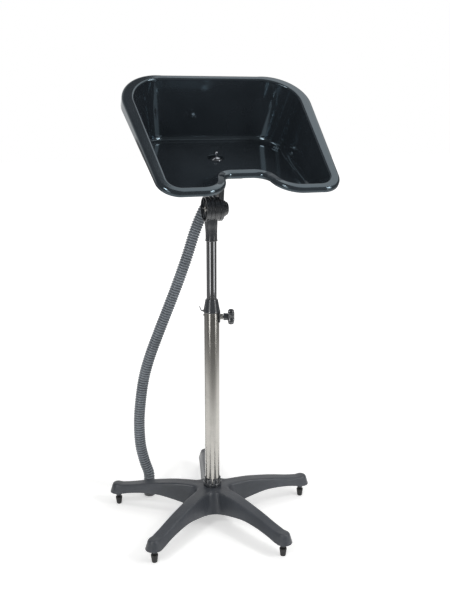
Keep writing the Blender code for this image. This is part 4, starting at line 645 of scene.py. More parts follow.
def softened(profile: Sequence[Pair], radius: float, closed: bool = False) -> list[Pair]:
    """Round the corners of a profile.

    Args:
        profile: The points of the profile.
        radius: How far from a corner its rounding starts.
        closed: Whether the last point joins the first.

    Returns:
        The profile with three steps in place of each sharp corner.
    """
    count = len(profile)
    result: list[Pair] = []
    for k, spot in enumerate(profile):
        here = Vector(spot)
        if not closed and k in (0, count - 1):
            result.append(spot)
            continue
        before, after = Vector(profile[k - 1]), Vector(profile[(k + 1) % count])
        come, go = here - before, after - here
        if come.length < 3 * MERGE or go.length < 3 * MERGE or come.angle(go) < radians(20):
            result.append(spot)
            continue
        start = here - come.normalized() * min(radius, come.length * 0.4)
        end = here + go.normalized() * min(radius, go.length * 0.4)
        for t in (0.0, 1 / 3, 2 / 3, 1.0):
            point = start * (1 - t) ** 2 + here * 2 * t * (1 - t) + end * t**2
            result.append((point.x, point.y))
    return result


def mesh_from(bm: bmesh.types.BMesh, place: Matrix) -> bpy.types.Mesh:
    """Turn a bmesh into a mesh whose faces look outwards, at its place in the row frame.

    Args:
        bm: The bmesh, which is freed.
        place: The frame that its points are in.

    Returns:
        The mesh.
    """
    bmesh.ops.recalc_face_normals(bm, faces=bm.faces)
    bmesh.ops.transform(bm, matrix=place, verts=bm.verts)
    mesh = bpy.data.meshes.new("shape")
    bm.to_mesh(mesh)
    bm.free()
    return mesh


def band(
    bm: bmesh.types.BMesh,
    lower: Sequence[bmesh.types.BMVert],
    upper: Sequence[bmesh.types.BMVert],
) -> None:
    """Add the faces between two closed rings, leaving out what has no area.

    Args:
        bm: The bmesh to add to.
        lower: The vertices of one ring.
        upper: The vertices of the other ring.
    """
    count = len(lower)
    for i in range(count):
        corners = [lower[i], lower[(i + 1) % count], upper[(i + 1) % count], upper[i]]
        corners = [v for k, v in enumerate(corners) if v not in corners[:k]]
        if len(corners) > 2:
            bm.faces.new(corners)


def turned(
    profile: Sequence[Pair], place: Matrix, steps: int = 72, ring: bool = False
) -> bpy.types.Mesh:
    """Return a body turned about the frame's Z.

    Args:
        profile: Its (radius, height) points. One of no radius is a pole.
        place: The frame.
        steps: The number of steps round.
        ring: Whether the profile closes on itself.

    Returns:
        The closed mesh.
    """
    bm = bmesh.new()
    rows = []
    for radius, height in profile:
        if radius < MERGE:
            rows.append([bm.verts.new((0, 0, height))] * steps)
            continue
        angles = [2 * pi * k / steps for k in range(steps)]
        rows.append([bm.verts.new((radius * cos(a), radius * sin(a), height)) for a in angles])
    for lower, upper in zip(rows, rows[1:]):
        band(bm, lower, upper)
    if ring:
        band(bm, rows[-1], rows[0])
    else:
        for row in (rows[0], rows[-1]):
            if row[0] is not row[1]:
                bm.faces.new(row)
    return mesh_from(bm, place)


def lofted(rings: Sequence[Sequence[Sequence[float]]], place: Matrix) -> bpy.types.Mesh:
    """Return a closed body through rings of as many points each.

    Args:
        rings: The rings, each a list of points.
        place: The frame.

    Returns:
        The mesh, capped at both ends.
    """
    bm = bmesh.new()
    rows = [[bm.verts.new(p) for p in ring] for ring in rings]
    for lower, upper in zip(rows, rows[1:]):
        band(bm, lower, upper)
    bm.faces.new(rows[0])
    bm.faces.new(rows[-1])
    return mesh_from(bm, place)


def rod(radius: float, start: float, end: float, place: Matrix, steps: int = 48,
        edge: float = 0.0003) -> bpy.types.Mesh:
    """Return a rod along the frame's Z with softened ends.

    Args:
        radius: Its radius.
        start: Where it starts.
        end: Where it ends.
        place: The frame.
        steps: The number of steps round.
        edge: The size of its end roundings.

    Returns:
        The mesh.
    """
    profile = softened([(0, end), (radius, end), (radius, start), (0, start)], edge)
    return turned(profile, place, steps)


def slab(
    outline: Sequence[Pair], bottom: float, top: float, place: Matrix, edge: float = 0.0
) -> bpy.types.Mesh:
    """Return an outline drawn out along the frame's Z, with bevelled rims.

    Args:
        outline: The points of a convex outline.
        bottom: Where it starts.
        top: Where it ends.
        place: The frame.
        edge: How deep the bevels are.

    Returns:
        The mesh.
    """
    middle = sum((Vector(p) for p in outline), Vector((0, 0))) / len(outline)

    def ring(inset: float, height: float) -> list[Triple]:
        """Return the outline pulled in towards its middle, at a height.

        Args:
            inset: How far each point comes in.
            height: The ring's height.

        Returns:
            The ring's points.
        """
        points = []
        for spot in outline:
            away = Vector(spot) - middle
            away *= 1 - inset / max(away.length, MERGE)
            points.append((middle.x + away.x, middle.y + away.y, height))
        return points

    levels = [(0.0, bottom), (0.0, top)]
    if edge:
        levels = [(edge, bottom), (edge * 0.3, bottom + edge * 0.3), (0.0, bottom + edge),
                  (0.0, top - edge), (edge * 0.3, top - edge * 0.3), (edge, top)]
    return lofted([ring(*level) for level in levels], place)


def box(size: Triple, centre: Sequence[float], place: Matrix, edge: float = 0.0) -> bpy.types.Mesh:
    """Return a box with bevelled edges.

    Args:
        size: Its three sides.
        centre: Its middle in the frame.
        place: The frame.
        edge: The bevel's width.

    Returns:
        The mesh.
    """
    bm = bmesh.new()
    bmesh.ops.create_cube(bm, size=1.0)
    bmesh.ops.scale(bm, vec=size, verts=bm.verts)
    bmesh.ops.translate(bm, vec=centre, verts=bm.verts)
    if edge:
        bmesh.ops.bevel(bm, geom=bm.edges, offset=edge, segments=2, profile=0.5,
                        affect="EDGES")
    return mesh_from(bm, place)


def tube_along(
    points: Sequence[Vector], radii: Sequence[float], place: Matrix, steps: int = 24
) -> bpy.types.Mesh:
    """Return a round bar that follows points.

    Args:
        points: The centre line.
        radii: The radius at each point.
        place: The frame.
        steps: The number of steps round.

    Returns:
        The mesh, capped at both ends.
    """
    rings = []
    side = Vector((0, 1, 0))
    for k, point in enumerate(points):
        heading = (points[min(k + 1, len(points) - 1)] - points[max(k - 1, 0)]).normalized()
        across = (side - heading * side.dot(heading)).normalized()
        up = heading.cross(across)
        angles = [2 * pi * i / steps for i in range(steps)]
        rings.append([point + (across * cos(a) + up * sin(a)) * radii[k] for a in angles])
    return lofted(rings, place)


def rounded_outline(
    corners: Sequence[Pair],
    radii: Sequence[float],
    arc_steps: Sequence[int],
    line_steps: Sequence[int],
) -> list[tuple[Vector, Vector]]:
    """Return an outline with arcs for corners, and its outward normals.

    Args:
        corners: The corners, counter-clockwise.
        radii: The radius of each corner.
        arc_steps: The number of steps in each arc.
        line_steps: The number of steps on the line that leads to each corner.

    Returns:
        The (point, normal) pairs round the outline.
    """
    count = len(corners)
    arcs = []
    for i in range(count):
        before, here, after = (Vector(corners[(i + k) % count]) for k in (-1, 0, 1))
        come = (here - before).normalized()
        go = (after - here).normalized()
        turn = atan2(come.x * go.y - come.y * go.x, come.dot(go))
        start = here - come * radii[i] * tan(abs(turn) / 2)
        outward = Vector((come.y, -come.x))
        side = 1 if turn > 0 else -1
        centre = start - outward * radii[i] * side
        arc = []
        for k in range(arc_steps[i] + 1):
            normal = Matrix.Rotation(turn * k / arc_steps[i], 2) @ outward
            arc.append((centre + normal * radii[i] * side, normal))
        arcs.append(arc)
    points = []
    for i in range(count):
        last, normal = arcs[i - 1][-1]
        first = arcs[i][0][0]
        for k in range(1, line_steps[i]):
            points.append((last.lerp(first, k / line_steps[i]), normal))
        points += arcs[i]
    return points


def polygon(sides: int, half_flats: float) -> list[Pair]:
    """Return a regular polygon by its half width over flats.

    Args:
        sides: The count of sides.
        half_flats: Half the width over flats.

    Returns:
        The polygon's corners.
    """
    reach = half_flats / cos(pi / sides)
    angles = [2 * pi * k / sides for k in range(sides)]
    return [(reach * cos(a), reach * sin(a)) for a in angles]


def evaluated(obj: bpy.types.Object) -> bpy.types.Mesh:
    """Return the plain mesh that an object's modifiers make, and remove the object.

    Args:
        obj: The object.

    Returns:
        The mesh.
    """
    graph = bpy.context.evaluated_depsgraph_get()
    graph.update()
    mesh = bpy.data.meshes.new_from_object(obj.evaluated_get(graph), depsgraph=graph)
    bpy.data.objects.remove(obj, do_unlink=True)
    return mesh


def in_scene(name: str, data: bpy.types.ID) -> bpy.types.Object:
    """Return a new object in the scene.

    Args:
        name: The object's name.
        data: Its mesh, curve, light or camera.

    Returns:
        The linked object.
    """
    obj = bpy.data.objects.new(name, data)
    bpy.context.scene.collection.objects.link(obj)
    return obj


def carved(mesh: bpy.types.Mesh, *tools: bpy.types.Mesh) -> bpy.types.Mesh:
    """Return a mesh with others cut out of it.

    Args:
        mesh: The mesh.
        tools: The closed meshes to cut away.

    Returns:
        The cut mesh.
    """
    for tool_mesh in tools:
        obj, tool = in_scene("carved", mesh), in_scene("tool", tool_mesh)
        modifier = obj.modifiers.new("cut", "BOOLEAN")
        modifier.operation = "DIFFERENCE"
        modifier.solver = "EXACT"
        modifier.object = tool
        mesh = evaluated(obj)
        bpy.data.objects.remove(tool, do_unlink=True)
    return mesh


def merged(*meshes: bpy.types.Mesh) -> bpy.types.Mesh:
    """Return one mesh that holds all of these."""
    bm = bmesh.new()
    for mesh in meshes:
        bm.from_mesh(mesh)
    whole = bpy.data.meshes.new("merged")
    bm.to_mesh(whole)
    bm.free()
    return whole


def dress(
    name: str,
    mesh: bpy.types.Mesh,
    finish: Finish,
    body: Rides,
    nodes: Sequence[str],
    crease: float = 32.0,
) -> bpy.types.Object:
    """Finish a piece: its shading, material, body, and the CAD nodes that it stands for.

    Args:
        name: The piece's name.
        mesh: Its mesh, in the row frame.
        finish: Its finish.
        body: The body that it rides on.
        nodes: The CAD nodes that it replaces.
        crease: The angle in degrees from which an edge stays sharp.

    Returns:
        The piece's object.
    """
    bm = bmesh.new()
    bm.from_mesh(mesh)
    for face in bm.faces:
        face.smooth = True
        face.material_index = 0
    for edge in bm.edges:
        edge.smooth = edge.is_manifold and edge.calc_face_angle(0.0) < radians(crease)
    bm.to_mesh(mesh)
    bm.free()
    mesh.materials.clear()
    mesh.materials.append(finish.material())
    obj = in_scene(name, mesh)
    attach(obj, body.value)
    if nodes:
        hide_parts(*nodes)
    LOG.info("%s: %d faces, rides on %s", name, len(mesh.polygons), body.value)
    return obj


# ---------------------------------------------------------------- geometry node trees


class Layout(Wiring):
    """A geometry node tree with named inputs, ending in real geometry with its material."""

    def __init__(self, name: str, inputs: dict[str, str]) -> None:
        """Start the tree.

        Args:
            name: The tree's name.
            inputs: The socket type of each named input.
        """
        super().__init__(bpy.data.node_groups.new(name, "GeometryNodeTree"))
        face = self.tree.interface
        face.new_socket("Geometry", in_out="INPUT", socket_type="NodeSocketGeometry")
        for key, kind in inputs.items():
            face.new_socket(key, in_out="INPUT", socket_type=kind)
        face.new_socket("Geometry", in_out="OUTPUT", socket_type="NodeSocketGeometry")
        self.given = self.node("NodeGroupInput").outputs
        self.out = self.node("NodeGroupOutput")

    def end(self, geometry: bpy.types.NodeSocket) -> None:
        """Realize the geometry and give it its material.

        Args:
            geometry: The geometry's socket.
        """
        real = self.node("GeometryNodeRealizeInstances", {"Geometry": geometry})
        dressed = self.node(
            "GeometryNodeSetMaterial",
            {"Geometry": real.outputs[0], "Material": self.given["Material"]},
        )
        self.tree.links.new(dressed.outputs[0], self.out.inputs[0])

    def run(self, obj: bpy.types.Object, values: dict[str, object]) -> bpy.types.Mesh:
        """Run the tree on an object, which is removed, and return the plain mesh.

        Args:
            obj: The object whose geometry goes in.
            values: A value for each named input.

        Returns:
            The mesh.
        """
        modifier = obj.modifiers.new(self.tree.name, "NODES")
        modifier.node_group = self.tree
        for item in self.tree.interface.items_tree:
            if item.item_type == "SOCKET" and item.in_out == "INPUT" and item.name in values:
                modifier[item.identifier] = values[item.name]
        obj.update_tag()
        return evaluated(obj)


class Copies(Layout):
    """Copies of one shape, one on each of a set of places."""

    def __init__(self) -> None:
        """Build the tree."""
        super().__init__(
            "copies_on_places",
            {"Copy": "NodeSocketObject", "Size": "NodeSocketFloat",
             "Material": "NodeSocketMaterial"},
        )
        shape = self.node(
            "GeometryNodeObjectInfo", {"Object": self.given["Copy"]},
            transform_space="ORIGINAL",
        )
        turn = self.node(
            "GeometryNodeInputNamedAttribute", {"Name": "turn"}, data_type="FLOAT_VECTOR"
        )
        rotation = self.node("FunctionNodeEulerToRotation", {0: turn.outputs[0]})
        placed = self.node(
            "GeometryNodeInstanceOnPoints",
            {"Points": self.given["Geometry"], "Instance": shape.outputs["Geometry"],
             "Rotation": rotation.outputs[0], "Scale": self.given["Size"]},
        )
        self.end(placed.outputs[0])

    def on(
        self, places: Iterable[Matrix], shape: bpy.types.Mesh, finish: Finish
    ) -> bpy.types.Mesh:
        """Return one mesh with the shape on every place.

        Args:
            places: A frame for each copy.
            shape: The shape, in its own frame.
            finish: The copies' finish.

        Returns:
            The mesh.
        """
        places = list(places)
        mesh = bpy.data.meshes.new("places")
        mesh.from_pydata([tuple(p.translation) for p in places], [], [])
        turns = mesh.attributes.new("turn", "FLOAT_VECTOR", "POINT")
        for spot, place in zip(turns.data, places):
            spot.vector = tuple(place.to_euler())
        copy = in_scene("copy", shape)
        made = self.run(
            in_scene("places", mesh),
            {"Copy": copy, "Size": 1.0, "Material": finish.material()},
        )
        bpy.data.objects.remove(copy, do_unlink=True)
        return made


class RibbedTube(Layout):
    """A tube along a curve, with ribs at an even pitch."""

    def __init__(self) -> None:
        """Build the tree."""
        super().__init__(
            "ribbed_tube",
            {"Radius": "NodeSocketFloat", "Valley Radius": "NodeSocketFloat",
             "Ribs": "NodeSocketFloat", "Steps": "NodeSocketInt", "Sides": "NodeSocketInt",
             "Material": "NodeSocketMaterial"},
        )
        line = self.node(
            "GeometryNodeResampleCurve",
            {"Curve": self.given["Geometry"], "Count": self.given["Steps"]},
        )
        factor = self.node("GeometryNodeSplineParameter").outputs["Factor"]
        phase = self.maths("MULTIPLY", self.maths("MULTIPLY", factor, self.given["Ribs"]), pi)
        wave = self.maths("ABSOLUTE", self.maths("COSINE", phase))
        narrow = self.maths("POWER", wave, 3.0)
        depth = self.maths("SUBTRACT", self.given["Radius"], self.given["Valley Radius"])
        drop = self.maths("MULTIPLY", depth, narrow)
        radius = self.maths("SUBTRACT", self.given["Radius"], drop)
        ring = self.node(
            "GeometryNodeCurvePrimitiveCircle",
            {"Resolution": self.given["Sides"], "Radius": 1.0},
        )
        skin = self.node(
            "GeometryNodeCurveToMesh",
            {"Curve": line.outputs[0], "Profile Curve": ring.outputs["Curve"],
             "Scale": radius, "Fill Caps": True},
        )
        self.end(skin.outputs[0])


# ---------------------------------------------------------------- studio


@dataclass
class Softbox:
    """One large soft lamp."""

    name: str
    place: Triple
    target: Triple
    size: Pair
    power: float

    def build(self) -> bpy.types.Object:
        """Return the lamp, aimed at its target."""
        data = bpy.data.lights.new(self.name, "AREA")
        data.shape = "RECTANGLE"
        data.size, data.size_y = self.size
        data.energy = self.power
        lamp = in_scene(self.name, data)
        aim = Vector(self.target) - Vector(self.place)
        lamp.location = self.place
        lamp.rotation_euler = aim.to_track_quat("-Z", "Y").to_euler()
        return lamp


@dataclass
class Studio:
    """Camera, lamps, world and the pale floor."""

    camera_place: Triple = (-0.5585, -1.7944, 1.049)
    camera_turn: Triple = (radians(76.06), 0.0, radians(-17.85))
    lens: float = 46.5
    floor_half: float = 14.0
    floor_colour: float = 0.86
    lift_near: Pair = (0.5, 0.44)
    lift_far: Pair = (2.2, 0.84)
    front_far: Pair = (-1.3, 0.0)
    front_near: Pair = (-0.3, 1.0)
    mirror_near: Pair = (0.6, 1.0)
    mirror_far: Pair = (2.0, 0.10)
    # Share of the floor's colour kept under the painted shade that reflections show.
    painted_shade_keep: float = 0.34
    room_light: float = 0.40
    lamps: tuple[Softbox, ...] = (
        Softbox("strip_left", (-1.7, -1.45, 1.15), (0.0, 0.0, 0.95), (0.62, 1.9), 9.0),
        Softbox("strip_right", (1.5, -1.6, 1.15), (0.0, 0.0, 0.95), (0.62, 1.9), 9.0),
        Softbox("key_left", (-1.62, -1.38, 2.05), (0.0, 0.0, 0.95), (0.45, 0.45), 13.0),
        Softbox("key_right", (1.43, -1.52, 2.05), (0.0, 0.0, 0.95), (0.45, 0.45), 13.0),
        Softbox("softbox_top", (1.20, 0.1, 2.8), (0.0, 0.05, 0.6), (2.0, 1.8), 14.0),
    )

    def camera(self) -> None:
        """Set up the camera at the photograph's place."""
        data = bpy.data.cameras.new("camera")
        data.sensor_fit = "AUTO"
        data.sensor_width = 36.0
        data.lens = self.lens
        data.clip_end = 60.0
        camera = in_scene("camera", data)
        camera.location = self.camera_place
        camera.rotation_euler = self.camera_turn
        bpy.context.scene.camera = camera

    def world(self) -> None:
        """Make the white background and the dimmer light of the room."""
        world = bpy.data.worlds.new("studio")
        world.use_nodes = True
        bpy.context.scene.world = world
        wiring = Wiring(world.node_tree)
        world.node_tree.nodes.clear()
        rays = wiring.node("ShaderNodeLightPath").outputs
        seen = wiring.maths("MAXIMUM", rays["Is Camera Ray"], rays["Is Transmission Ray"])
        heading = wiring.node("ShaderNodeTexCoord").outputs["Generated"]
        parts = wiring.node("ShaderNodeSeparateXYZ", {0: heading})
        behind = wiring.spread(parts.outputs[1], (0.35, 0.14), (0.96, 1.0))
        level = wiring.spread(parts.outputs[2], (0.15, 1.0), (0.60, 0.80))
        behind = wiring.maths("MULTIPLY", behind, level)
        mirrored = wiring.maths("MULTIPLY", rays["Is Glossy Ray"], behind)
        diffuse = wiring.maths("SUBTRACT", 1.0, rays["Is Glossy Ray"])
        plain = wiring.maths("MULTIPLY", diffuse, self.room_light)
        light = wiring.maths("ADD", mirrored, plain)
        strength = wiring.maths("MAXIMUM", seen, light)
        backdrop = wiring.node(
            "ShaderNodeBackground", {"Color": (1.0, 1.0, 1.0, 1.0), "Strength": strength}
        )
        wiring.node("ShaderNodeOutputWorld", {"Surface": backdrop.outputs[0]})

    def floor(self) -> None:
        """Lay the pale floor, which keeps the object's shadow and carries painted shade in
        reflections, in front of the object and far from it.
        """
        half = self.floor_half
        mesh = bpy.data.meshes.new("floor")
        mesh.from_pydata(
            [(-half, -half, 0), (half, -half, 0), (half, half, 0), (-half, half, 0)],
            [],
            [(0, 1, 2, 3)],
        )
        floor = in_scene("floor", mesh)
        material, wiring, shader = start_material("studio_paper")
        place = wiring.node("ShaderNodeTexCoord").outputs["Object"]
        fibres = wiring.node(
            "ShaderNodeTexNoise", {"Vector": place, "Scale": 3.0, "Detail": 4.0}
        )
        pale = self.floor_colour
        base = wiring.blend(
            fibres.outputs[0], (pale, pale, pale, 1.0), (pale * 1.02, pale * 1.02, pale, 1.0)
        )
        rays = wiring.node("ShaderNodeLightPath").outputs
        seen = wiring.maths("MAXIMUM", rays["Is Camera Ray"], rays["Is Transmission Ray"])
        parts = wiring.node("ShaderNodeSeparateXYZ", {0: place})
        front = wiring.spread(parts.outputs[1], self.front_far, self.front_near)
        away = wiring.node("ShaderNodeVectorMath", {0: place}, operation="LENGTH")
        away = away.outputs["Value"]
        mirrored = wiring.maths("MULTIPLY", rays["Is Glossy Ray"], front)
        near = wiring.spread(away, self.mirror_near, self.mirror_far)
        mirrored = wiring.maths("MULTIPLY", mirrored, near)
        seen = wiring.maths("MAXIMUM", seen, mirrored)
        # Painted shade: in reflections, the floor in front of the object and far from it is
        # darkened towards black.
        painted_shade = wiring.maths("SUBTRACT", rays["Is Glossy Ray"], mirrored)
        painted_shade = wiring.maths("MULTIPLY", painted_shade, 1.0 - self.painted_shade_keep)
        base = wiring.blend(painted_shade, base, (0.0, 0.0, 0.0, 1.0))
        lift = wiring.spread(away, self.lift_near, self.lift_far)
        wiring.tree.links.new(base, shader.inputs["Base Color"])
        shader.inputs["Roughness"].default_value = 0.9
        shader.inputs["Specular IOR Level"].default_value = 0.0
        shader.inputs["Emission Color"].default_value = (1.0, 1.0, 1.0, 1.0)
        lift = wiring.maths("MULTIPLY", seen, lift)
        wiring.tree.links.new(lift, shader.inputs["Emission Strength"])
        mesh.materials.append(material)

    def build(self) -> None:
        """Set up everything but the object."""
        bpy.context.scene.view_settings.view_transform = "Standard"
        self.camera()
        self.world()
        self.floor()
        for lamp in self.lamps:
            lamp.build()
        LOG.info("studio: camera, floor and %d lamps", len(self.lamps))


# ---------------------------------------------------------------- drain hose


@dataclass
class DrainHose:
    """The ribbed drain hose and the plain cuff at its lower end."""

    radius: float = 0.0150
    valley_radius: float = 0.0120
    bore: float = 0.0108
    ribs: float = 130.5
    steps_per_rib: int = 10
    sides: int = 40
    lead: float = 0.030
    start_drop: float = 0.0523
    cuff_radius: float = 0.0160
    cuff_length: float = 0.026
    cuff_gap: float = 0.001
    end: Pair = (-0.1360, 0.1565)
    bends: tuple[Triple, ...] = (
        (0.0150, 0.0640, 0.8250),
        (-0.0005, 0.0765, 0.7920),
        (-0.0165, 0.0865, 0.7480),
        (-0.0375, 0.0950, 0.6780),
        (-0.0600, 0.1065, 0.6080),
        (-0.0830, 0.1180, 0.5420),
        (-0.1055, 0.1290, 0.4790),
        (-0.1305, 0.1410, 0.4050),
        (-0.1465, 0.1490, 0.3410),
        (-0.1575, 0.1540, 0.2590),
        (-0.1600, 0.1565, 0.2040),
        (-0.1570, 0.1580, 0.1480),
        (-0.1470, 0.1580, 0.1000),
    )

    def route(self) -> list[Vector]:
        """Return the centre line as a fine polyline in the row frame."""
        start = DRAIN_FRAME @ Vector((0, 0, -self.start_drop))
        lead = DRAIN_FRAME @ Vector((0, 0, -self.start_drop - self.lead))
        foot = Vector((*self.end, self.cuff_gap + self.cuff_length + GAP)) + COLUMN_FOOT
        stops = [start, lead, *(Vector(p) + COLUMN_FOOT for p in self.bends)]
        stops += [foot + Vector((0, 0, self.lead)), foot]
        last = len(stops) - 1
        tangents = [
            (stops[min(i + 1, last)] - stops[max(i - 1, 0)]).normalized()
            for i in range(last + 1)
        ]
        tangents[1], tangents[-2] = tangents[0], tangents[-1]
        fine = [start]
        for i in range(last):
            reach = (stops[i + 1] - stops[i]).length / 3
            handles = stops[i] + tangents[i] * reach, stops[i + 1] - tangents[i + 1] * reach
            fine += interpolate_bezier(stops[i], *handles, stops[i + 1], 16)[1:]
        return fine

    @staticmethod
    def evenly(points: Sequence[Vector], count: int) -> list[Vector]:
        """Return this many points at equal steps along a polyline.

        Args:
            points: The polyline.
            count: How many points to return.

        Returns:
            The evenly spaced points.
        """
        lengths = [0.0]
        for a, b in zip(points, points[1:]):
            lengths.append(lengths[-1] + (b - a).length)
        found, at = [], 0
        for k in range(count):
            wanted = lengths[-1] * k / (count - 1)
            while at < len(points) - 2 and lengths[at + 1] < wanted:
                at += 1
            share = (wanted - lengths[at]) / (lengths[at + 1] - lengths[at])
            found.append(points[at].lerp(points[at + 1], share))
        return found

    def cuff(self) -> bpy.types.Object:
        """Return the cuff, which stands just off the floor."""
        low, high = self.cuff_gap, self.cuff_gap + self.cuff_length
        profile = [
            (self.cuff_radius - 0.0006, high),
            (self.cuff_radius, high - 0.003),
            (self.cuff_radius, low + 0.004),
            (self.cuff_radius - 0.0004, low),
            (self.bore, low),
            (self.bore, high),
        ]
        place = Matrix.Translation(COLUMN_FOOT + Vector((*self.end, 0)))
        mesh = turned(softened(profile, 0.0008, closed=True), place, 64, ring=True)
        return dress("hose_cuff_moulding", mesh, SATIN_BLACK, Rides.HEAD, ["hose_cuff"])

    def build(self) -> None:
        points = self.route()
        curve = bpy.data.curves.new("hose_line", "CURVE")
        curve.dimensions = "3D"
        spline = curve.splines.new("POLY")
        spline.points.add(len(points) - 1)
        for spot, point in zip(spline.points, points):
            spot.co = (*point, 1.0)
        values = {
            "Radius": self.radius,
            "Valley Radius": self.valley_radius,
            "Ribs": self.ribs,
            "Steps": int(self.ribs * self.steps_per_rib),
            "Sides": self.sides,
            "Material": HOSE_GREY.material(),
        }
        mesh = RibbedTube().run(in_scene("hose_line", curve), values)
        hose = dress("ribbed_hose", mesh, HOSE_GREY, Rides.HEAD, ["drain_hose"], crease=80.0)
        cuff = self.cuff()
        path = self.evenly(points, 40)


# ---------------------------------------------------------------- foot


@dataclass
class StarFoot:
    """The five-arm foot, its glides, and the slotted ring where the column enters it."""

    copies: Copies
    arms: int = 5
    wall: float = 0.004
    hub_top: float = 0.086
    hub_ring: float = 0.030
    hole: float = 0.0196
    tip_centre: float = 0.264
    lengths: tuple[float, ...] = (0.075, 0.105, 0.145, 0.185, 0.222, 0.252)
    tops: tuple[float, ...] = (0.0855, 0.0840, 0.0790, 0.0725, 0.0650, 0.0605)
    skirts: tuple[float, ...] = (0.036, 0.043, 0.0498, 0.0495, 0.045, 0.038)
    tip_top: float = 0.0615
    tip_skirt: float = 0.0365
    valley_skirt: float = 0.033
    skirt_halves: Pair = (0.026, 0.021)
    skirt_fillet: float = 0.028
    top_halves: Pair = (0.018, 0.0135)
    top_fillet: float = 0.020
    edge_drop: float = 0.0062
    edge_inset: float = 0.0042
    valley_steps: int = 10
    arm_steps: int = 28
    tip_steps: int = 12
    boss_radius: float = 0.0265
    boss_bottom: float = 0.030
    rib_half: float = 0.0015
    glide_circle: float = 0.2626
    ring_band: float = 0.0085
    ring_height: float = 0.0225

    def side(self, half_hub: float, half_tip: float, fillet: float) -> list[Vector]:
        """Return an arm's outline from the valley on its left to its tip.

        Args:
            half_hub: Half the arm's width at the hub.
            half_tip: Half its width at the tip.
            fillet: The radius of the valley between two arms.

        Returns:
            The outline's points.
        """
        half_angle = pi / self.arms
        reach = (half_hub + fillet) / sin(half_angle)
        centre = Vector((reach * cos(half_angle), reach * sin(half_angle)))
        points = []
        for k in range(self.valley_steps + 1):
            angle = along(k, 0, self.valley_steps, pi + half_angle, 1.5 * pi)
            points.append(centre + Vector((cos(angle), sin(angle))) * fillet)
        for k in range(self.arm_steps):
            length = along(k, 0, self.arm_steps - 1, self.lengths[0], self.lengths[-1])
            half = along(length, 0, self.lengths[-1], half_hub, half_tip)
            points.append(Vector((length, half)))
        for k in range(self.tip_steps + 1):
            angle = pi / 2 * (1 - k / self.tip_steps)
            points.append(Vector((self.tip_centre + half_tip * cos(angle),
                                  half_tip * sin(angle))))
        return points

    def heights(self, valley: float, given: Sequence[float], tip: float) -> list[float]:
        """Return a height for each of the points of side.

        Args:
            valley: The height in the valley.
            given: The heights along the arm.
            tip: The height round the tip.

        Returns:
            One height for each point.
        """
        arm = []
        for k in range(self.arm_steps):
            length = along(k, 0, self.arm_steps - 1, self.lengths[0], self.lengths[-1])
            arm.append(smooth_read(self.lengths, given, length))
        rise = [along(k, 0, self.valley_steps, 0.0, 1.0) for k in range(self.valley_steps + 1)]
        hub = [valley + (given[0] - valley) * share * share for share in rise]
        return [*hub, *arm, *([tip] * (self.tip_steps + 1))]

    def around(self, side: Sequence[Vector], heights: Sequence[float]) -> list[Vector]:
        """Return the whole closed ring from one arm's half.

        Args:
            side: Half of an arm's outline.
            heights: A height for each of its points.

        Returns:
            The ring's points.
        """
        left = [Vector((p.x, p.y, z)) for p, z in zip(side, heights)]
        right = [Vector((p.x, -p.y, p.z)) for p in left]
        arm = right[:-1] + left[:0:-1]
        ring = []
        for k in range(self.arms):
            turn = Matrix.Rotation(2 * pi * k / self.arms, 3, "Z")
            ring += [turn @ p for p in arm]
        return ring

    def rings(self) -> list[list[Vector]]:
        """Return the rings of the skin, from its lower edge to the hole in its hub."""
        top = self.heights(self.hub_top, self.tops, self.tip_top)
        skirt = self.heights(self.valley_skirt, self.skirts, self.tip_skirt)
        outer = self.side(*self.skirt_halves, self.skirt_fillet)
        upper = self.side(*self.top_halves, self.top_fillet)
        inset = self.edge_inset
        flat = self.side(self.top_halves[0] - inset, self.top_halves[1] - inset,
                         self.top_fillet)
        spine = []
        for k, point in enumerate(flat):
            length = min(max(point.x, self.hub_ring), self.tip_centre)
            angle = pi / self.arms * max(0.0, 1 - k / self.valley_steps)
            radius = self.hub_ring if k <= self.valley_steps else length
            spine.append(Vector((radius * cos(angle), radius * sin(angle))))
        rings = [self.around(outer, skirt)]
        for share in (0.04, 0.5):
            wall = [a.lerp(b, share) for a, b in zip(outer, upper)]
            level = [s + (z - s) * share for s, z in zip(skirt, top)]
            rings.append(self.around(wall, level))
        drop = self.edge_drop
        shoulder = [a.lerp(b, (z - s - drop) / (z - s))
                    for a, b, z, s in zip(outer, upper, top, skirt)]
        for step in range(6):
            t = step / 5
            points = [a * (1 - t) ** 2 + b * 2 * t * (1 - t) + c * t**2
                      for a, b, c in zip(shoulder, upper, flat)]
            rings.append(self.around(points, [z - drop * (1 - t) ** 2 for z in top]))
        for share in (0.5, 1.0):
            points = [a.lerp(b, share) for a, b in zip(flat, spine)]
            rings.append(self.around(points, top))
        return rings

    def skin(self) -> bpy.types.Mesh:
        """Return the moulded shell with its wall."""
        bm = bmesh.new()
        rows = []
        for ring in self.rings():
            row, known = [], {}
            for point in ring:
                key = tuple(round(c / MERGE) for c in point)
                if key not in known:
                    known[key] = bm.verts.new(point)
                row.append(known[key])
            rows.append(row)
        for lower, upper in zip(rows, rows[1:]):
            band(bm, lower, upper)
        hub = [v for v in dict.fromkeys(rows[-1]) if v.co.xy.length < self.hub_ring + MERGE]
        share = self.hole / self.hub_ring
        hole = [bm.verts.new((v.co.x * share, v.co.y * share, v.co.z)) for v in hub]
        band(bm, hub, hole)
        bmesh.ops.recalc_face_normals(bm, faces=bm.faces)
        top = max(bm.faces, key=lambda face: face.calc_center_median().z)
        if top.normal.z < 0:
            bmesh.ops.reverse_faces(bm, faces=bm.faces)
        mesh = bpy.data.meshes.new("foot_skin")
        bm.to_mesh(mesh)
        bm.free()
        shell = in_scene("foot_skin", mesh)
        wall = shell.modifiers.new("wall", "SOLIDIFY")
        wall.thickness = self.wall
        wall.offset = -1
        wall.use_even_offset = True
        made = evaluated(shell)
        made.transform(FOOT_FRAME)
        return made

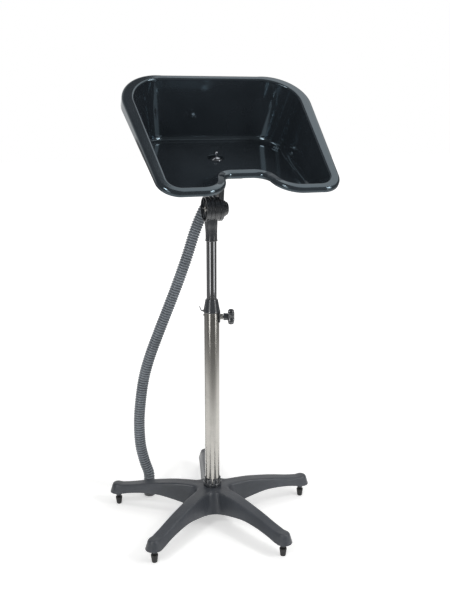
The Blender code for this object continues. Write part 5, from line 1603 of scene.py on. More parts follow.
    def underside(self) -> list[bpy.types.Mesh]:
        """Return the socket round the column, the webs and the glide bosses."""
        high = self.hub_top - self.wall / 2
        floor = self.boss_bottom + 0.004
        profile = [(self.boss_radius, high), (self.boss_radius, self.boss_bottom),
                   (0.0053, self.boss_bottom), (0.0053, floor), (0.0193, floor),
                   (0.0193, high)]
        boss = turned(softened(profile, 0.0008, closed=True), FOOT_FRAME, 72, ring=True)
        lengths = [self.boss_radius - 0.002, *self.lengths[:-1], 0.246]
        lows = [self.valley_skirt, *self.skirts[:-1], self.tip_skirt]
        highs = [self.hub_top, *self.tops]
        outline = [(r, z + 0.005) for r, z in zip(lengths, lows)]
        outline += [(r, z - self.wall / 2) for r, z in zip(lengths[::-1], highs[::-1])]
        web = lofted([[(r, y, z) for r, z in outline] for y in (self.rib_half, -self.rib_half)],
                     Matrix())
        post = turned([(0.0078, self.tip_top - self.wall / 2), (0.0078, 0.0265),
                       (0.0043, 0.0265), (0.0043, self.tip_top - self.wall / 2)],
                      Matrix.Translation((self.glide_circle, 0, 0)), 40, ring=True)
        spokes = [FOOT_FRAME @ Matrix.Rotation(2 * pi * k / self.arms, 4, "Z")
                  for k in range(self.arms)]
        return [boss, self.copies.on(spokes, merged(web, post), FOOT_SLATE)]

    def glides(self) -> bpy.types.Mesh:
        """Return the five foot glides."""
        profile = [(0, 0.048), (0.004, 0.048), (0.004, 0.020), (0.0088, 0.020),
                   (0.0088, 0.0175), (0.0068, 0.001), (0.0058, 0), (0, 0)]
        glide = turned(softened(profile, 0.0007), Matrix.Translation((self.glide_circle, 0, 0)),
                       40)
        places = [FOOT_FRAME @ Matrix.Rotation(2 * pi * k / self.arms, 4, "Z")
                  for k in range(self.arms)]
        return self.copies.on(places, glide, RUBBER)

    def column_ring(self) -> bpy.types.Mesh:
        """Return the ring round the foot of the column, split into fingers."""
        bottom = self.hub_top + GAP
        level, top = bottom + self.ring_band, bottom + self.ring_height
        profile = [(0.0205, top), (0.0218, top - 0.0012), (0.0218, level + 0.0012),
                   (0.02375, level), (0.02375, bottom), (0.0193, bottom), (0.0193, top)]
        ring = turned(softened(profile, 0.0005, closed=True), FOOT_FRAME, 96, ring=True)
        slots = [
            box((0.072, 0.003, self.ring_height), (0, 0, level + 0.0012 + self.ring_height / 2),
                FOOT_FRAME @ Matrix.Rotation(pi * (k + 0.5) / 4, 4, "Z"))
            for k in range(4)
        ]
        return carved(ring, *slots)

    def build(self) -> None:
        """Build and dress the pieces of the foot."""
        shell = merged(self.skin(), *self.underside())
        dress("star_foot", shell, FOOT_SLATE, Rides.STAND, ["star_base"])
        glides = [f"foot_glide_{k + 1}" for k in range(self.arms)]
        dress("glide_feet", self.glides(), RUBBER, Rides.STAND, glides)
        dress("column_ring", self.column_ring(), SATIN_BLACK, Rides.STAND, ["base_ring"])


# ---------------------------------------------------------------- column


@dataclass
class Column:
    """The outer and inner tubes, the collar with its hook and tongue, and the rivet."""

    outer: float = 0.019
    outer_bottom: float = 0.0343
    outer_top: float = 0.5570
    inner: float = 0.0125
    inner_bottom: float = 0.245
    inner_top: float = 0.779
    wall: float = 0.0015
    collar_bottom: float = 0.555
    collar_top: float = 0.589
    sleeve_bottom: float = 0.530
    tongue_half: float = 0.009
    tongue_thick: float = 0.0024
    hook_radius: float = 0.0019

    def tube(self, radius: float, bottom: float, top: float) -> bpy.types.Mesh:
        """Return a tube on the column's axis.

        Args:
            radius: The tube's outer radius.
            bottom: The height of its lower end.
            top: The height of its upper end.

        Returns:
            The tube's mesh.
        """
        bore = radius - self.wall
        profile = [(radius, top), (radius, bottom), (bore, bottom), (bore, top)]
        return turned(softened(profile, 0.0004, closed=True), STAND, 128, ring=True)

    def collar(self) -> bpy.types.Mesh:
        """Return the conical collar with its tongue and its hook."""
        outside, inside = self.outer + GAP, self.outer - self.wall - GAP
        bore, ledge = self.inner + GAP, self.outer_top + GAP
        low, flange = self.collar_bottom, self.collar_bottom + 0.0035
        profile = [
            (0.0144, self.collar_top), (0.0156, self.collar_top - 0.0012),
            (0.0206, flange + 0.0012), (0.0213, flange), (0.0213, low + 0.0012),
            (0.0201, low), (outside, low), (outside, ledge), (inside, ledge),
            (inside, self.sleeve_bottom), (bore, self.sleeve_bottom), (bore, self.collar_top),
        ]
        body = turned(softened(profile, 0.0006, closed=True), STAND, 96, ring=True)
        return merged(body, self.tongue(), self.hook())

    def tongue(self) -> bpy.types.Mesh:
        """Return the curved tongue down the side of the outer tube."""
        inner = self.outer + GAP
        outer = inner + self.tongue_thick
        spread = self.tongue_half / inner
        angles = [along(k, 0, 24, -spread, spread) for k in range(25)]
        outline = [(outer * cos(a), outer * sin(a)) for a in angles]
        outline += [(inner * cos(a), inner * sin(a)) for a in reversed(angles)]
        place = STAND @ standing((0, 0, 0), (0, 0, radians(-18)))
        top = self.collar_bottom + 0.004
        return lofted([[(x, y, z) for x, y in outline] for z in (self.sleeve_bottom, top)],
                      place)

    def hook(self) -> bpy.types.Mesh:
        """Return the small up-turned hook for a hose."""
        low = self.collar_bottom + 0.0025
        bend = interpolate_bezier(
            Vector((0.0207, 0, self.collar_bottom + 0.0055)),
            Vector((0.0243, 0, low - self.hook_radius)),
            Vector((0.0243 + self.hook_radius, 0, low)),
            Vector((0.0305, 0, self.collar_bottom + 0.0155)),
            24,
        )
        radii = [self.hook_radius * along(k, 0, 23, 1.0, 0.55) for k in range(24)]
        radii[-1] *= 0.6
        return tube_along(bend, radii, HOOK_FRAME)

    def rivet(self) -> bpy.types.Mesh:
        """Return the rivet that keeps the collar on the tube."""
        head = self.outer + GAP
        dome = [(0.0034 * sin(k * pi / 12), head + 0.0022 * cos(k * pi / 12) ** 1.0)
                for k in range(7)]
        profile = [*dome, (0.0016, head), (0.0016, 0.0131), (0, 0.0131)]
        return turned(profile, RIVET_FRAME, 40)

    def build(self) -> None:
        """Build and dress the pieces of the column."""
        outer = self.tube(self.outer, self.outer_bottom, self.outer_top)
        dress("lower_tube", outer, COLUMN_STEEL, Rides.STAND, ["outer_tube"])
        inner = self.tube(self.inner, self.inner_bottom, self.inner_top)
        dress("upper_tube", inner, MAST_CHROME, Rides.MAST, ["inner_tube"])
        dress("cone_collar", self.collar(), SATIN_BLACK, Rides.STAND, ["tube_collar"])
        dress("collar_pin", self.rivet(), ZINC_STEEL, Rides.STAND, ["collar_rivet"])


# ---------------------------------------------------------------- height clamp


@dataclass
class HeightClamp:
    """The welded nut, the stud, and the lobed knob on it."""

    hub_start: float = 0.0292
    hub_radius: float = 0.0093
    hub_length: float = 0.0105
    head_radius: float = 0.0173
    lobe_depth: float = 0.0028
    lobes: int = 6
    lobe_steps: int = 16
    head_length: float = 0.017
    radius_shares: tuple[float, ...] = (0.46, 0.84, 0.98, 1.0, 0.86, 0.50)
    length_shares: tuple[float, ...] = (0.0, 0.08, 0.28, 0.62, 0.90, 1.0)
    face_dish: float = 0.0012

    def head(self) -> bpy.types.Mesh:
        """Return the lobed head with its dished face."""
        start = self.hub_start + self.hub_length
        count = self.lobes * self.lobe_steps
        shares = [along(k, 0, 30, 0.0, 1.0) for k in range(31)]
        rows = [(smooth_read(self.length_shares, self.radius_shares, s), s) for s in shares]
        dish = self.face_dish / self.head_length
        rows += [(0.44, 1.0), (0.36, 1.0 - dish), (0.12, 1.0 - dish)]
        rings = []
        for radius_share, length_share in rows:
            ring = []
            for k in range(count):
                angle = 2 * pi * k / count
                lobe = self.lobe_depth * cos(self.lobes * angle) * min(1, radius_share * 1.6)
                radius = (self.head_radius + lobe) * radius_share
                ring.append((radius * cos(angle), radius * sin(angle),
                             start + self.head_length * length_share))
            rings.append(ring)
        return lofted(rings, CLAMP_FRAME)

    def build(self) -> None:
        """Build and dress the pieces of the clamp."""
        end = self.hub_start + self.hub_length + 0.002
        profile = [(0, end), (self.hub_radius * 0.92, end),
                   (self.hub_radius, self.hub_start + 0.004), (self.hub_radius, self.hub_start),
                   (0, self.hub_start)]
        hub = turned(softened(profile, 0.0007), CLAMP_FRAME, 64)
        dress("lobed_knob", merged(self.head(), hub), SATIN_BLACK, Rides.KNOB, ["clamp_knob"])
        stud = turned(self.thread(), CLAMP_FRAME, 48)
        dress("knob_stud", stud, ZINC_STEEL, Rides.KNOB, ["clamp_stud"])
        nut = slab(polygon(6, 0.0065), 0.0220, 0.0285, CLAMP_FRAME, edge=0.0005)
        neck = rod(0.0058, 0.0175, 0.0225, CLAMP_FRAME)
        bore = rod(0.0042, 0.010, 0.040, CLAMP_FRAME)
        dress("welded_nut", merged(carved(nut, bore), carved(neck, bore)), ZINC_STEEL,
              Rides.STAND, ["clamp_nut"])

    def thread(self) -> list[Pair]:
        """Return the stud's profile, with the ridges of its thread."""
        low, high, pitch = 0.0161, 0.0452, 0.0015
        profile: list[Pair] = [(0, high), (0.0034, high), (0.0038, high - 0.0004)]
        height = high - 0.001
        while height > low + pitch:
            profile += [(0.0038, height), (0.00335, height - pitch * 0.5)]
            height -= pitch
        return [*profile, (0.0034, low), (0, low)]


# ---------------------------------------------------------------- tilt joint


@dataclass
class TiltJoint:
    """The joint under the bowl: drum on its stem, pivot bolt, release button, bracket."""

    copies: Copies
    drum: float = 0.031
    left: float = -0.0185
    right: float = 0.007
    rim: float = 0.0034
    web_left: float = -0.0105
    web: float = 0.003
    hub: float = 0.009
    hub_left: float = -0.0130
    edge: float = 0.0012
    grooves: Pair = (0.42, 0.80)
    groove: float = 0.0014
    groove_depth: float = 0.0013
    bore: float = 0.0043
    spline: float = 0.02445
    teeth: int = 36
    stem: float = 0.0143
    stem_drop: float = 0.078
    bead: float = 0.0009
    neck_drops: tuple[float, ...] = (0.022, 0.035, 0.048, 0.060)
    neck_left: tuple[float, ...] = (1.05, 1.05, 1.02, 1.0)
    neck_right: tuple[float, ...] = (0.90, 0.93, 0.97, 1.0)
    neck_depth: tuple[float, ...] = (1.46, 1.34, 1.12, 1.0)
    squareness: float = 3.2
    knuckle: float = 0.0300
    knuckle_right: float = 0.0250
    cavity_end: float = 0.0150
    button: float = 0.0165
    button_out: float = 0.0407
    ring_outer: float = 0.0198
    ring_right: float = 0.0345
    arm_sides: Pair = (0.0145, 0.0273)
    arm_depths: tuple[float, ...] = (0.032, 0.025, 0.022, 0.028)
    arm_shares: tuple[float, ...] = (0.0, 0.38, 0.76, 1.0)
    plate: Triple = (0.086, 0.060, 0.005)
    plate_middle: Triple = (0.007, -0.058, -0.0133)
    screw_span: Pair = (0.062, 0.038)
    prong_circle: float = 0.0130

    def grooved(self, radius: float, right: float, left: float,
                shares: Sequence[float]) -> list[Pair]:
        """Return an outer profile from right to left with grooves at shares of it.

        Args:
            radius: The radius between the grooves.
            right: Where the profile starts.
            left: Where it ends.
            shares: The grooves' places.

        Returns:
            The profile's points.
        """
        profile = [(radius - 0.0004, right), (radius, right - 0.0004)]
        for share in sorted(shares, reverse=True):
            at = along(share, 0, 1, left, right)
            for k in range(-4, 5):
                depth = self.groove_depth * cos(k * pi / 8)
                profile.append((radius - depth, at - k * self.groove / 4))
        return profile

    def gear_ring(self, radius: float) -> list[Pair]:
        """Return the outline of the splined hollow, with this tip radius.

        Args:
            radius: The radius over the tips.

        Returns:
            The outline's points.
        """
        points = []
        for k in range(2 * self.teeth):
            angle = pi * (k + 0.5) / self.teeth
            reach = radius - (0.002 if k % 2 else 0.0)
            points.append((reach * cos(angle), reach * sin(angle)))
        return points

    def section(self, drop: float, grown: float = 0.0) -> list[Triple]:
        """Return one section of the stem and neck.

        Args:
            drop: How far it is under the tilt axis.
            grown: How much wider it is than the stem's own size.

        Returns:
            Its points.
        """
        shares = [smooth_read(self.neck_drops, row, drop)
                  for row in (self.neck_left, self.neck_right, self.neck_depth)]
        left, right, depth = shares
        power = along(depth, 1.0, self.neck_depth[0], 2.0, self.squareness)
        radius = self.stem + grown
        ring = []
        for k in range(96):
            c, s = cos(2 * pi * k / 96), sin(2 * pi * k / 96)
            size = (abs(c) ** power + abs(s) ** power) ** (-1 / power)
            ring.append((radius * (right if c > 0 else left) * size * c,
                         radius * depth * size * s, -drop))
        return ring

    def neck(self) -> bpy.types.Mesh:
        """Return the stem with its bead and ribs, flaring into the neck under the drum."""
        low = self.stem_drop
        rows = [self.section(low), self.section(low - self.bead / 2, self.bead * 0.7),
                self.section(low - self.bead, self.bead), self.section(low - 0.003, self.bead),
                self.section(low - 0.0035, self.bead * 0.7), self.section(low - 0.0039),
                self.section(0.0735)]
        rows += [self.section(along(k, 0, 24, 0.060, 0.022)) for k in range(25)]
        body = lofted(rows, TILT_FRAME)
        inside = rod(self.drum - self.rim / 2, 2 * self.left, 2 * self.right, PIVOT_FRAME, 96)
        beside = rod(self.drum + self.edge, self.right - GAP, 0.03, PIVOT_FRAME, 96)
        bore = rod(0.0128, -self.stem_drop - 0.002, -0.0327, TILT_FRAME, 64)
        spread = 0.0056
        depth = (self.stem**2 - spread**2) ** 0.5
        rib = rod(0.0016, 0.0035 - self.stem_drop, -0.030, Matrix(), 20, 0.0008)
        places = [TILT_FRAME @ standing((x, y, 0)) for x in (-spread, spread)
                  for y in (-depth, depth)]
        ribs = self.copies.on(places, rib, SATIN_BLACK)
        return merged(carved(body, inside, beside, bore), carved(ribs, inside, bore))

    def socket(self) -> bpy.types.Mesh:
        """Return the drum with its spokes, its hollow and its neck."""
        web_right = self.web_left + self.web
        recess = self.drum - self.rim
        profile = self.grooved(self.drum, self.right, self.left, self.grooves)
        profile += softened(
            [(self.drum, self.left + 2 * self.edge), (self.drum, self.left + self.edge),
             (self.drum - self.edge, self.left), (recess, self.left),
             (recess, self.web_left), (self.hub, self.web_left), (self.hub, self.hub_left),
             (self.bore, self.hub_left), (self.bore, self.right)], 0.0005)
        body = turned(profile, PIVOT_FRAME, 144, ring=True)
        hollow = slab(self.gear_ring(self.spline), web_right, self.right + 0.002, PIVOT_FRAME)
        body = carved(body, hollow)
        inner, outer = self.hub - self.edge, recess + self.edge
        low, high = self.left + 0.0022, self.web_left + self.web / 2
        spoke = box((outer - inner, 0.0022, high - low),
                    ((inner + outer) / 2, 0, (low + high) / 2), Matrix(), 0.0004)
        places = [PIVOT_FRAME @ Matrix.Rotation(2 * pi * (k + 0.5) / 6, 4, "Z")
                  for k in range(6)]
        return merged(body, self.copies.on(places, spoke, SATIN_BLACK), self.neck())

    def bolt(self) -> bpy.types.Mesh:
        """Return the pivot bolt with the slot in its bright head."""
        seat = self.hub_left - GAP
        profile = [(0, 0.0303), (0.004, 0.0303), (0.004, seat), (0.0062, seat),
                   (0.0062, seat - 0.0018), (0.0052, seat - 0.0030), (0.0028, seat - 0.0034),
                   (0, seat - 0.0034)]
        body = turned(softened(profile, 0.0005), PIVOT_FRAME, 72)
        slot = box((0.0186, 0.0016, 0.0028), (0, 0, seat - 0.0034),
                   PIVOT_FRAME @ Matrix.Rotation(radians(40), 4, "Z"))
        return carved(body, slot)

    def pressed(self) -> bpy.types.Mesh:
        """Return the release button with its dished face and its prongs."""
        left = self.knuckle_right + 0.0056
        out = self.button_out
        profile = [(0, out - 0.0010), (self.button * 0.45, out - 0.0007),
                   (self.button * 0.70, out), (self.button - 0.0032, out),
                   (self.button - 0.0012, out - 0.0010), (self.button, out - 0.0025),
                   (self.button, left), (0.0085, left), (0.0085, 0.0359), (0, 0.0359)]
        body = turned(softened(profile, 0.0010), PIVOT_FRAME, 96)
        prong = rod(0.0026, 0.0109, left + 0.002, Matrix.Translation((self.prong_circle, 0, 0)),
                    24)
        places = [PIVOT_FRAME @ Matrix.Rotation(2 * pi * k / 3, 4, "Z") for k in range(3)]
        return merged(body, self.copies.on(places, prong, SATIN_BLACK))

    def arm(self) -> bpy.types.Mesh:
        """Return the arm from the knuckle up to the plate."""
        middle = Vector(self.plate_middle)
        target = TILT_FRAME.inverted() @ DRAIN_FRAME @ (middle - Vector((0, 0, 0.0025)))
        width = self.arm_sides[1] - self.arm_sides[0]
        centre = sum(self.arm_sides) / 2
        rings = []
        for k in range(25):
            share = k / 24
            depth = smooth_read(self.arm_shares, self.arm_depths, share)
            x, y = width / 2, depth / 2
            outline = rounded_outline([(x, -y), (x, y), (-x, y), (-x, -y)], [0.004] * 4,
                                      [8] * 4, [3] * 4)
            lean = tan(radians(18)) * share
            rings.append([(centre + p.x, target.y * share + p.y,
                           target.z * share + p.y * lean) for p, _ in outline])
        body = lofted(rings, TILT_FRAME)
        core = rod(self.knuckle - 0.0034, self.arm_sides[0] - 0.002, 0.023, PIVOT_FRAME, 96)
        ring = rod((self.button + self.ring_outer) / 2, 0.021, 0.0365, PIVOT_FRAME, 96)
        return carved(body, core, ring)

    def fixings(self) -> list[Matrix]:
        """Return the frames of the four bracket screws."""
        middle = self.plate_middle
        return [
            DRAIN_FRAME @ standing((middle[0] + sx * self.screw_span[0] / 2,
                                    middle[1] + sy * self.screw_span[1] / 2, 0))
            for sx in (-1, 1) for sy in (-1, 1)
        ]

    def top_plate(self) -> bpy.types.Mesh:
        """Return the plate under the bowl with its gussets and screw holes."""
        wide, deep, thick = self.plate
        mx, my, mz = self.plate_middle
        x, y = wide / 2, deep / 2
        outline = rounded_outline([(x, -y), (x, y), (-x, y), (-x, -y)], [0.012] * 4, [12] * 4,
                                  [2] * 4)
        flat = [(p.x + mx, p.y + my) for p, _ in outline]
        plate = slab(flat, mz - thick, mz, DRAIN_FRAME, 0.0007)
        holes = [rod(0.0023, mz - thick - 0.002, mz + 0.002, place, 24)
                 for place in self.fixings()]
        arm_middle = sum(self.arm_sides) / 2 - 0.021
        under = mz - thick / 2
        gusset = lofted(
            [[(x, my + y, z) for x, z in ((arm_middle - 0.028, under),
                                          (arm_middle, under - 0.022),
                                          (arm_middle + 0.028, under))]
             for y in (-0.002, 0.002)], DRAIN_FRAME)
        return merged(carved(plate, *holes), gusset)

    def bracket(self) -> bpy.types.Mesh:
        """Return the knuckle, the ring round the button, the arm and the plate."""
        left = self.right + 0.0004
        ring_bore = self.button + 0.0004
        outer = self.ring_outer
        profile = softened(
            [(ring_bore, self.ring_right), (outer - self.edge, self.ring_right),
             (outer, self.ring_right - self.edge), (outer, self.knuckle_right),
             (self.knuckle - 0.0004, self.knuckle_right)], 0.0005)
        profile += self.grooved(self.knuckle, self.knuckle_right, left, (0.5,))
        profile += [(self.knuckle, left), (self.bore, left), (self.bore, self.knuckle_right),
                    (ring_bore, self.knuckle_right)]
        body = turned(profile, PIVOT_FRAME, 144, ring=True)
        hollow = slab(self.gear_ring(self.spline), left - 0.002, self.cavity_end, PIVOT_FRAME)
        holes = [
            rod(0.0031, self.cavity_end - 0.002, self.knuckle_right + 0.002,
                PIVOT_FRAME @ Matrix.Rotation(2 * pi * k / 3, 4, "Z")
                @ Matrix.Translation((self.prong_circle, 0, 0)), 24)
            for k in range(3)
        ]
        return merged(carved(body, hollow, *holes), self.arm(), self.top_plate())

    def screws(self) -> bpy.types.Mesh:
        """Return the four cross-recessed bracket screws."""
        seat = self.plate_middle[2] - self.plate[2] - GAP
        profile = [(0, seat + 0.0138), (0.002, seat + 0.0138), (0.002, seat), (0.0044, seat),
                   (0.0044, seat - 0.0012), (0.0030, seat - 0.0026), (0, seat - 0.0028)]
        screw = turned(softened(profile, 0.0005), Matrix(), 48)
        cross = [box((0.0048, 0.0008, 0.0024), (0, 0, seat - 0.0028),
                     Matrix.Rotation(turn, 4, "Z")) for turn in (0.0, pi / 2)]
        return self.copies.on(self.fixings(), carved(screw, *cross), ZINC_STEEL)

    def build(self) -> None:
        """Build and dress the pieces of the joint."""
        dress("drum_socket", self.socket(), SATIN_BLACK, Rides.MAST, ["joint_socket"])
        dress("pivot_pin", self.bolt(), ZINC_STEEL, Rides.MAST, ["pivot_bolt"])
        dress("press_button", self.pressed(), SATIN_BLACK, Rides.RELEASE, ["release_button"])
        dress("bowl_bracket", self.bracket(), SATIN_BLACK, Rides.HEAD, ["tilt_bracket"])
        screws = [f"bracket_screw_{k + 1}" for k in range(4)]
        dress("plate_screws", self.screws(), ZINC_STEEL, Rides.HEAD, screws)


# ---------------------------------------------------------------- bowl


@dataclass
class Bowl:
    """The bowl: rolled rim, skirt, neck recess, walls, sloping floor and screw bosses."""

    joint: TiltJoint
    wall: float = 0.0035
    rim_height: float = 0.196
    front: float = -0.1355
    back: float = 0.248
    halves: Pair = (0.1840, 0.2110)
    recess_depth: float = 0.0825
    recess_dip: float = 0.026
    recess_halves: Pair = (0.0600, 0.080)
    rim_radii: tuple[float, ...] = (0.044, 0.044, 0.030, 0.084)
    widths: tuple[float, ...] = (0.020, 0.0235, 0.0295, 0.017)
    roll: float = 0.0072
    skirts: tuple[float, ...] = (0.011, 0.012, 0.031)
    inner_roll: float = 0.0045
    slope: float = radians(18.2)
    drain: Triple = (-0.007, 0.0953, 0.0777)
    floor_corners: tuple[Pair, ...] = (
        (0.074, -0.024), (0.103, -0.106), (0.163, -0.106), (0.188, 0.2145),
    )
    floor_radii: tuple[float, ...] = (0.046, 0.030, 0.030, 0.080)
    fillet: float = 0.016
    arc_steps: tuple[int, ...] = (18, 12, 16, 26)
    line_steps: tuple[int, ...] = (8, 8, 10, 16, 16)
    roll_steps: int = 8
    fillet_steps: int = 9
    seat: float = 0.0202
    seat_depth: float = 0.002
    neck_bore: float = 0.0139

    def outline(self, corners: Sequence[Pair],
                radii: Sequence[float]) -> list[tuple[Vector, Vector]]:
        """Return one closed outline of the bowl from the corners of its right half.

        Args:
            corners: The corners.
            radii: Their radii.

        Returns:
            The (point, outward normal) pairs.
        """
        corners = [*corners, *((-x, y) for x, y in reversed(corners))]
        recess, side, front, flank, back = self.line_steps
        return rounded_outline(
            corners, [*radii, *reversed(radii)], [*self.arc_steps, *reversed(self.arc_steps)],
            [recess, side, front, flank, back, flank, front, side],
        )

    def rim_line(self) -> list[tuple[Vector, Vector]]:
        """Return the inner edge of the rim, with the neck recess in its front."""
        base = (self.recess_halves[0], self.front + self.recess_depth)
        return self.outline(
            [base, (self.recess_halves[1], self.front), (self.halves[0], self.front),
             (self.halves[1], self.back)], self.rim_radii,
        )

    def in_recess(self, point: Vector) -> bool:
        """Return whether a point of the inner edge is on the bowl's front or its recess.

        Args:
            point: A point of the inner edge.

        Returns:
            True on the front or the recess.
        """
        return point.y <= self.front + self.recess_depth + self.rim_radii[2]

    def dip(self, point: Vector) -> float:
        """Return how far the rim lies under its plane at a point of its inner edge.

        Args:
            point: A point of the inner edge.

        Returns:
            The depth under the rim's plane.
        """
        if abs(point.x) >= self.halves[0] - self.rim_radii[2] or not self.in_recess(point):
            return 0.0
        return along(point.y, self.front, self.front + self.recess_depth, 0.0, self.recess_dip)

    def floor_level(self, back: float) -> float:
        """Return the height of the bowl's floor at a place along its slope.

        Args:
            back: The place, towards the bowl's back.

        Returns:
            The floor's height there.
        """
        return self.drain[2] - (back - self.drain[1]) * tan(self.slope)

    def rim_offsets(self, point: Vector, normal: Vector) -> list[Pair]:
        """Return the rim's section at a point of its inner edge.

        Args:
            point: The point.
            normal: The outward normal there.

        Returns:
            How far out and how far down each point of the section is.
        """
        on_front = self.in_recess(point) and normal.y < 0
        sideways = abs(normal.x) if self.dip(point) == 0 or not on_front else 0.0
        ahead, skirt_ahead = self.widths[0], self.skirts[0]
        if not on_front:
            ahead, skirt_ahead = self.widths[3], self.skirts[2]
        width = along(point.y, self.front, self.back, self.widths[1], self.widths[2])
        width = along(sideways, 0, 1, ahead, width)
        skirt = along(point.y, self.front, self.back, self.skirts[1], self.skirts[2])
        skirt = along(sideways, 0, 1, skirt_ahead, skirt)
        offsets = [(width, skirt), (width, skirt - 0.0008), (width, self.roll + 0.0008)]
        for k in range(self.roll_steps + 1):
            angle = pi / 2 * (1 - k / self.roll_steps)
            offsets.append((width - self.roll * (1 - sin(angle)), self.roll * (1 - cos(angle))))
        flat = width - self.roll - self.inner_roll
        offsets += [(self.inner_roll + flat * share, 0.0) for share in (0.9, 0.5, 0.1)]
        for k in range(self.fillet_steps + 1):
            angle = pi / 2 * k / self.fillet_steps
            offsets.append((self.inner_roll * (1 - sin(angle)),
                            self.inner_roll * (1 - cos(angle))))
        return offsets

    def rows(self) -> list[list[Vector]]:
        """Return the rings of the skin from the skirt's lower edge down to the floor."""
        columns = []
        edges = zip(self.rim_line(), self.outline(self.floor_corners, self.floor_radii))
        for (point, normal), (low, low_normal) in edges:
            column = []
            for out, down in self.rim_offsets(point, normal):
                plan = point + normal * out
                column.append(
                    Vector((plan.x, plan.y, self.rim_height - self.dip(point) - down))
                )
            corner = Vector((low.x, low.y, self.floor_level(low.y)))
            up = (column[-1] - corner).normalized()
            inward = Vector((-low_normal.x, -low_normal.y, low_normal.y * tan(self.slope)))
            inward.normalize()
            start, end = corner + up * self.fillet, corner + inward * self.fillet
            column += [column[-1].lerp(start, share) for share in (0.02, 0.34, 0.67, 0.98)]
            for k in range(self.fillet_steps + 1):
                t = k / self.fillet_steps
                column.append(start * (1 - t) ** 2 + corner * 2 * t * (1 - t) + end * t**2)
            column.append(corner + inward * (self.fillet + 0.002))
            columns.append(column)
        return [list(row) for row in zip(*columns)]

    def seat_ring(self, radius: float, drop: float) -> list[Vector]:
        """Return a ring of points round the drain on the sloping floor.

        Args:
            radius: The ring's radius.
            drop: How far it lies under the floor.

        Returns:
            The ring's points.
        """
        angles = [2 * pi * k / 96 - pi / 2 for k in range(96)]
        return [DRAIN_IN_BOWL @ Vector((radius * cos(a), radius * sin(a), -drop))
                for a in angles]

    def skin(self) -> bpy.types.Mesh:
        """Return the bowl's shell."""
        bm = bmesh.new()
        rows = [[bm.verts.new(p) for p in row] for row in self.rows()]
        for outer, inner in zip(rows, rows[1:]):
            band(bm, outer, inner)
        levels = ((self.seat + 0.004, 0.0), (self.seat + 0.001, 0.0),
                  (self.seat + 0.0006, 0.0003), (self.seat + 0.0002, self.seat_depth - 0.0003),
                  (self.seat, self.seat_depth), (self.neck_bore, self.seat_depth))
        seats = [[bm.verts.new(p) for p in self.seat_ring(*level)] for level in levels]
        loops = []
        for loop in (rows[-1], seats[0]):
            for a, b in zip(loop, [*loop[1:], loop[0]]):
                loops.append(bm.edges.get((a, b)) or bm.edges.new((a, b)))
        bmesh.ops.triangle_fill(bm, use_beauty=True, use_dissolve=False, edges=loops)
        for outer, inner in zip(seats, seats[1:]):
            band(bm, outer, inner)
        bmesh.ops.recalc_face_normals(bm, faces=bm.faces)
        highest = max(bm.faces, key=lambda face: face.calc_center_median().z)
        if highest.normal.z < 0:
            bmesh.ops.reverse_faces(bm, faces=bm.faces)
        mesh = bpy.data.meshes.new("bowl_skin")
        bm.to_mesh(mesh)
        bm.free()
        shell = in_scene("bowl_skin", mesh)
        wall = shell.modifiers.new("wall", "SOLIDIFY")
        wall.thickness = self.wall
        wall.offset = -1
        wall.use_even_offset = True
        made = evaluated(shell)
        made.transform(BOWL_FRAME)
        return made

    def build(self) -> None:
        """Build and dress the bowl."""
        middle = self.joint.plate_middle[2]
        post = turned([(0.0066, middle + GAP), (0.0066, -0.002), (0.0023, -0.0045),
                       (0.0023, middle + GAP)], Matrix(), 40, ring=True)
        posts = self.joint.copies.on(self.joint.fixings(), post, BOWL_BLACK)
        dress("bowl_shell", merged(self.skin(), posts), BOWL_BLACK, Rides.HEAD, ["basin"])


# ---------------------------------------------------------------- drain


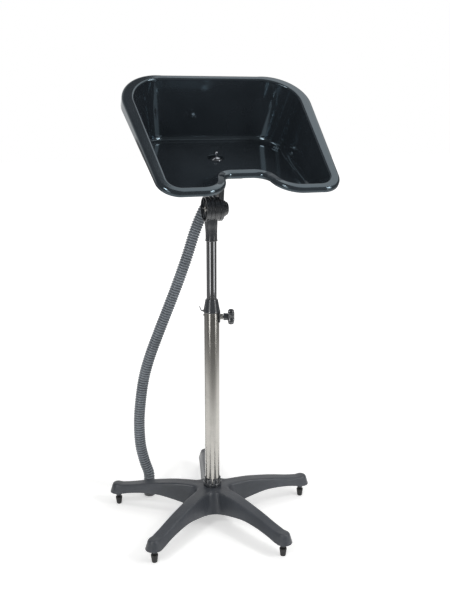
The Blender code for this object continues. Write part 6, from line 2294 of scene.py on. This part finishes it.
@dataclass
class Drain:
    """The drain in the bowl's floor: flange, locknut, tailpiece, hose nut and stopper."""

    flange: float = 0.0184
    neck: float = 0.0136
    neck_end: float = 0.027
    bore: float = 0.0105
    tail: float = 0.0125
    nut_sides: int = 8
    nut_half_flats: float = 0.019
    nut_levels: Pair = (-0.0151, -0.0081)
    grips: int = 12
    hose_nut: float = 0.0185
    hose_nut_levels: Pair = (-0.052, -0.036)
    stopper: float = 0.0128

    def fitting(self) -> bpy.types.Mesh:
        """Return the flange with its neck and its strainer bars."""
        profile = [(self.flange - 0.0008, 0.0008), (self.flange, 0), (self.flange, -0.0017),
                   (self.neck, -0.0017), (self.neck, -self.neck_end),
                   (self.bore, -self.neck_end), (self.bore, 0.0002), (self.bore + 0.0008, 0.0008)]
        body = turned(softened(profile, 0.0006, closed=True), DRAIN_FRAME, 96, ring=True)
        bars = [box((self.neck + self.bore, 0.0022, 0.0022), (0, 0, -0.0102),
                    DRAIN_FRAME @ Matrix.Rotation(turn, 4, "Z"), 0.0003)
                for turn in (0.0, pi / 2)]
        return merged(body, *bars)

    def locknut(self) -> bpy.types.Mesh:
        """Return the eight-sided nut under the bowl."""
        low, high = self.nut_levels
        nut = slab(polygon(self.nut_sides, self.nut_half_flats), low, high, DRAIN_FRAME, 0.0008)
        return carved(nut, rod(self.neck + GAP, low - 0.002, high + 0.002, DRAIN_FRAME, 64))

    def tailpiece(self) -> bpy.types.Mesh:
        """Return the pipe between the drain's neck and the hose."""
        wide = self.neck + GAP
        profile = [(0.0168, -0.0168), (0.0168, -0.029), (self.tail, -0.0312),
                   (self.tail, -0.050), (0.0100, -0.050), (0.0100, -self.neck_end - GAP),
                   (wide, -self.neck_end - GAP), (wide, -0.0168)]
        return turned(softened(profile, 0.0008, closed=True), DRAIN_FRAME, 72, ring=True)

    def gripped_nut(self) -> bpy.types.Mesh:
        """Return the hose nut with its finger grips."""
        low, high = self.hose_nut_levels
        rings = []
        for height, inset in ((low, 0.0009), (low + 0.0009, 0.0), (high - 0.0009, 0.0),
                              (high, 0.0009)):
            ring = []
            for k in range(self.grips * 12):
                angle = 2 * pi * k / (self.grips * 12)
                notch = 0.0008 * max(0.0, cos(self.grips * angle)) ** 4
                radius = self.hose_nut - notch - inset
                ring.append((radius * cos(angle), radius * sin(angle), height))
            rings.append(ring)
        nut = lofted(rings, DRAIN_FRAME)
        return carved(nut, rod(self.tail + GAP, low - 0.002, high + 0.002, DRAIN_FRAME, 64))

    def plug(self) -> bpy.types.Mesh:
        """Return the stopper with its ball knob."""
        low, ball, knob = 0.0011, 0.0046, 0.0125
        profile = [(0, knob + ball)]
        for k in range(1, 15):
            angle = pi / 2 - k * (pi - 0.6) / 14
            profile.append((ball * cos(angle), knob + ball * sin(angle)))
        rest = [(0.0026, low + 0.0044), (self.stopper - 0.0022, low + 0.0022),
                (self.stopper, low + 0.0011), (self.stopper, low), (0.0092, low),
                (0.0081, low - 0.006), (0, low - 0.006)]
        return turned([*profile, *softened(rest, 0.0007)], DRAIN_FRAME, 72)

    def build(self) -> None:
        """Build and dress the pieces of the drain."""
        dress("drain_fitting", self.fitting(), DRAIN_CHROME, Rides.HEAD, ["drain_flange"])
        dress("lock_nut", self.locknut(), SATIN_BLACK, Rides.HEAD, ["drain_locknut"])
        dress("tail_pipe", self.tailpiece(), SATIN_BLACK, Rides.HEAD, ["tailpiece"])
        dress("grip_nut", self.gripped_nut(), SATIN_BLACK, Rides.HEAD, ["hose_nut"])
        dress("ball_stopper", self.plug(), DRAIN_CHROME, Rides.STOPPER, ["drain_stopper"])


# ---------------------------------------------------------------- carried-over nodes


CARRIED: dict[str, Finish] = {
    "tube_foot_plug": NYLON,
    "column_bolt": ZINC_STEEL,
    "column_washer": ZINC_STEEL,
    "clamp_pad": NYLON,
    "glide_bush": NYLON,
    "socket_screw": ZINC_STEEL,
    "pivot_nut": ZINC_STEEL,
    "lock_gear": NYLON,
    "gear_spring": ZINC_STEEL,
    "drain_gasket": RUBBER,
}


def dress_carried() -> None:
    """Give the CAD nodes that stay their own materials."""
    for name, finish in CARRIED.items():
        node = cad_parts[name]
        for slot in node.material_slots:
            slot.material = finish.material()
        LOG.info("%s: carried over in %s", name, finish.name)


def main() -> None:
    """Build the scene in order."""
    logging.basicConfig(level=logging.INFO, format="%(name)s: %(message)s")
    Studio().build()
    DrainHose().build()
    copies = Copies()
    joint = TiltJoint(copies)
    for assembly in (StarFoot(copies), Column(), HeightClamp(), joint, Bowl(joint), Drain()):
        assembly.build()
    dress_carried()


if __name__ == "__main__":
    main()
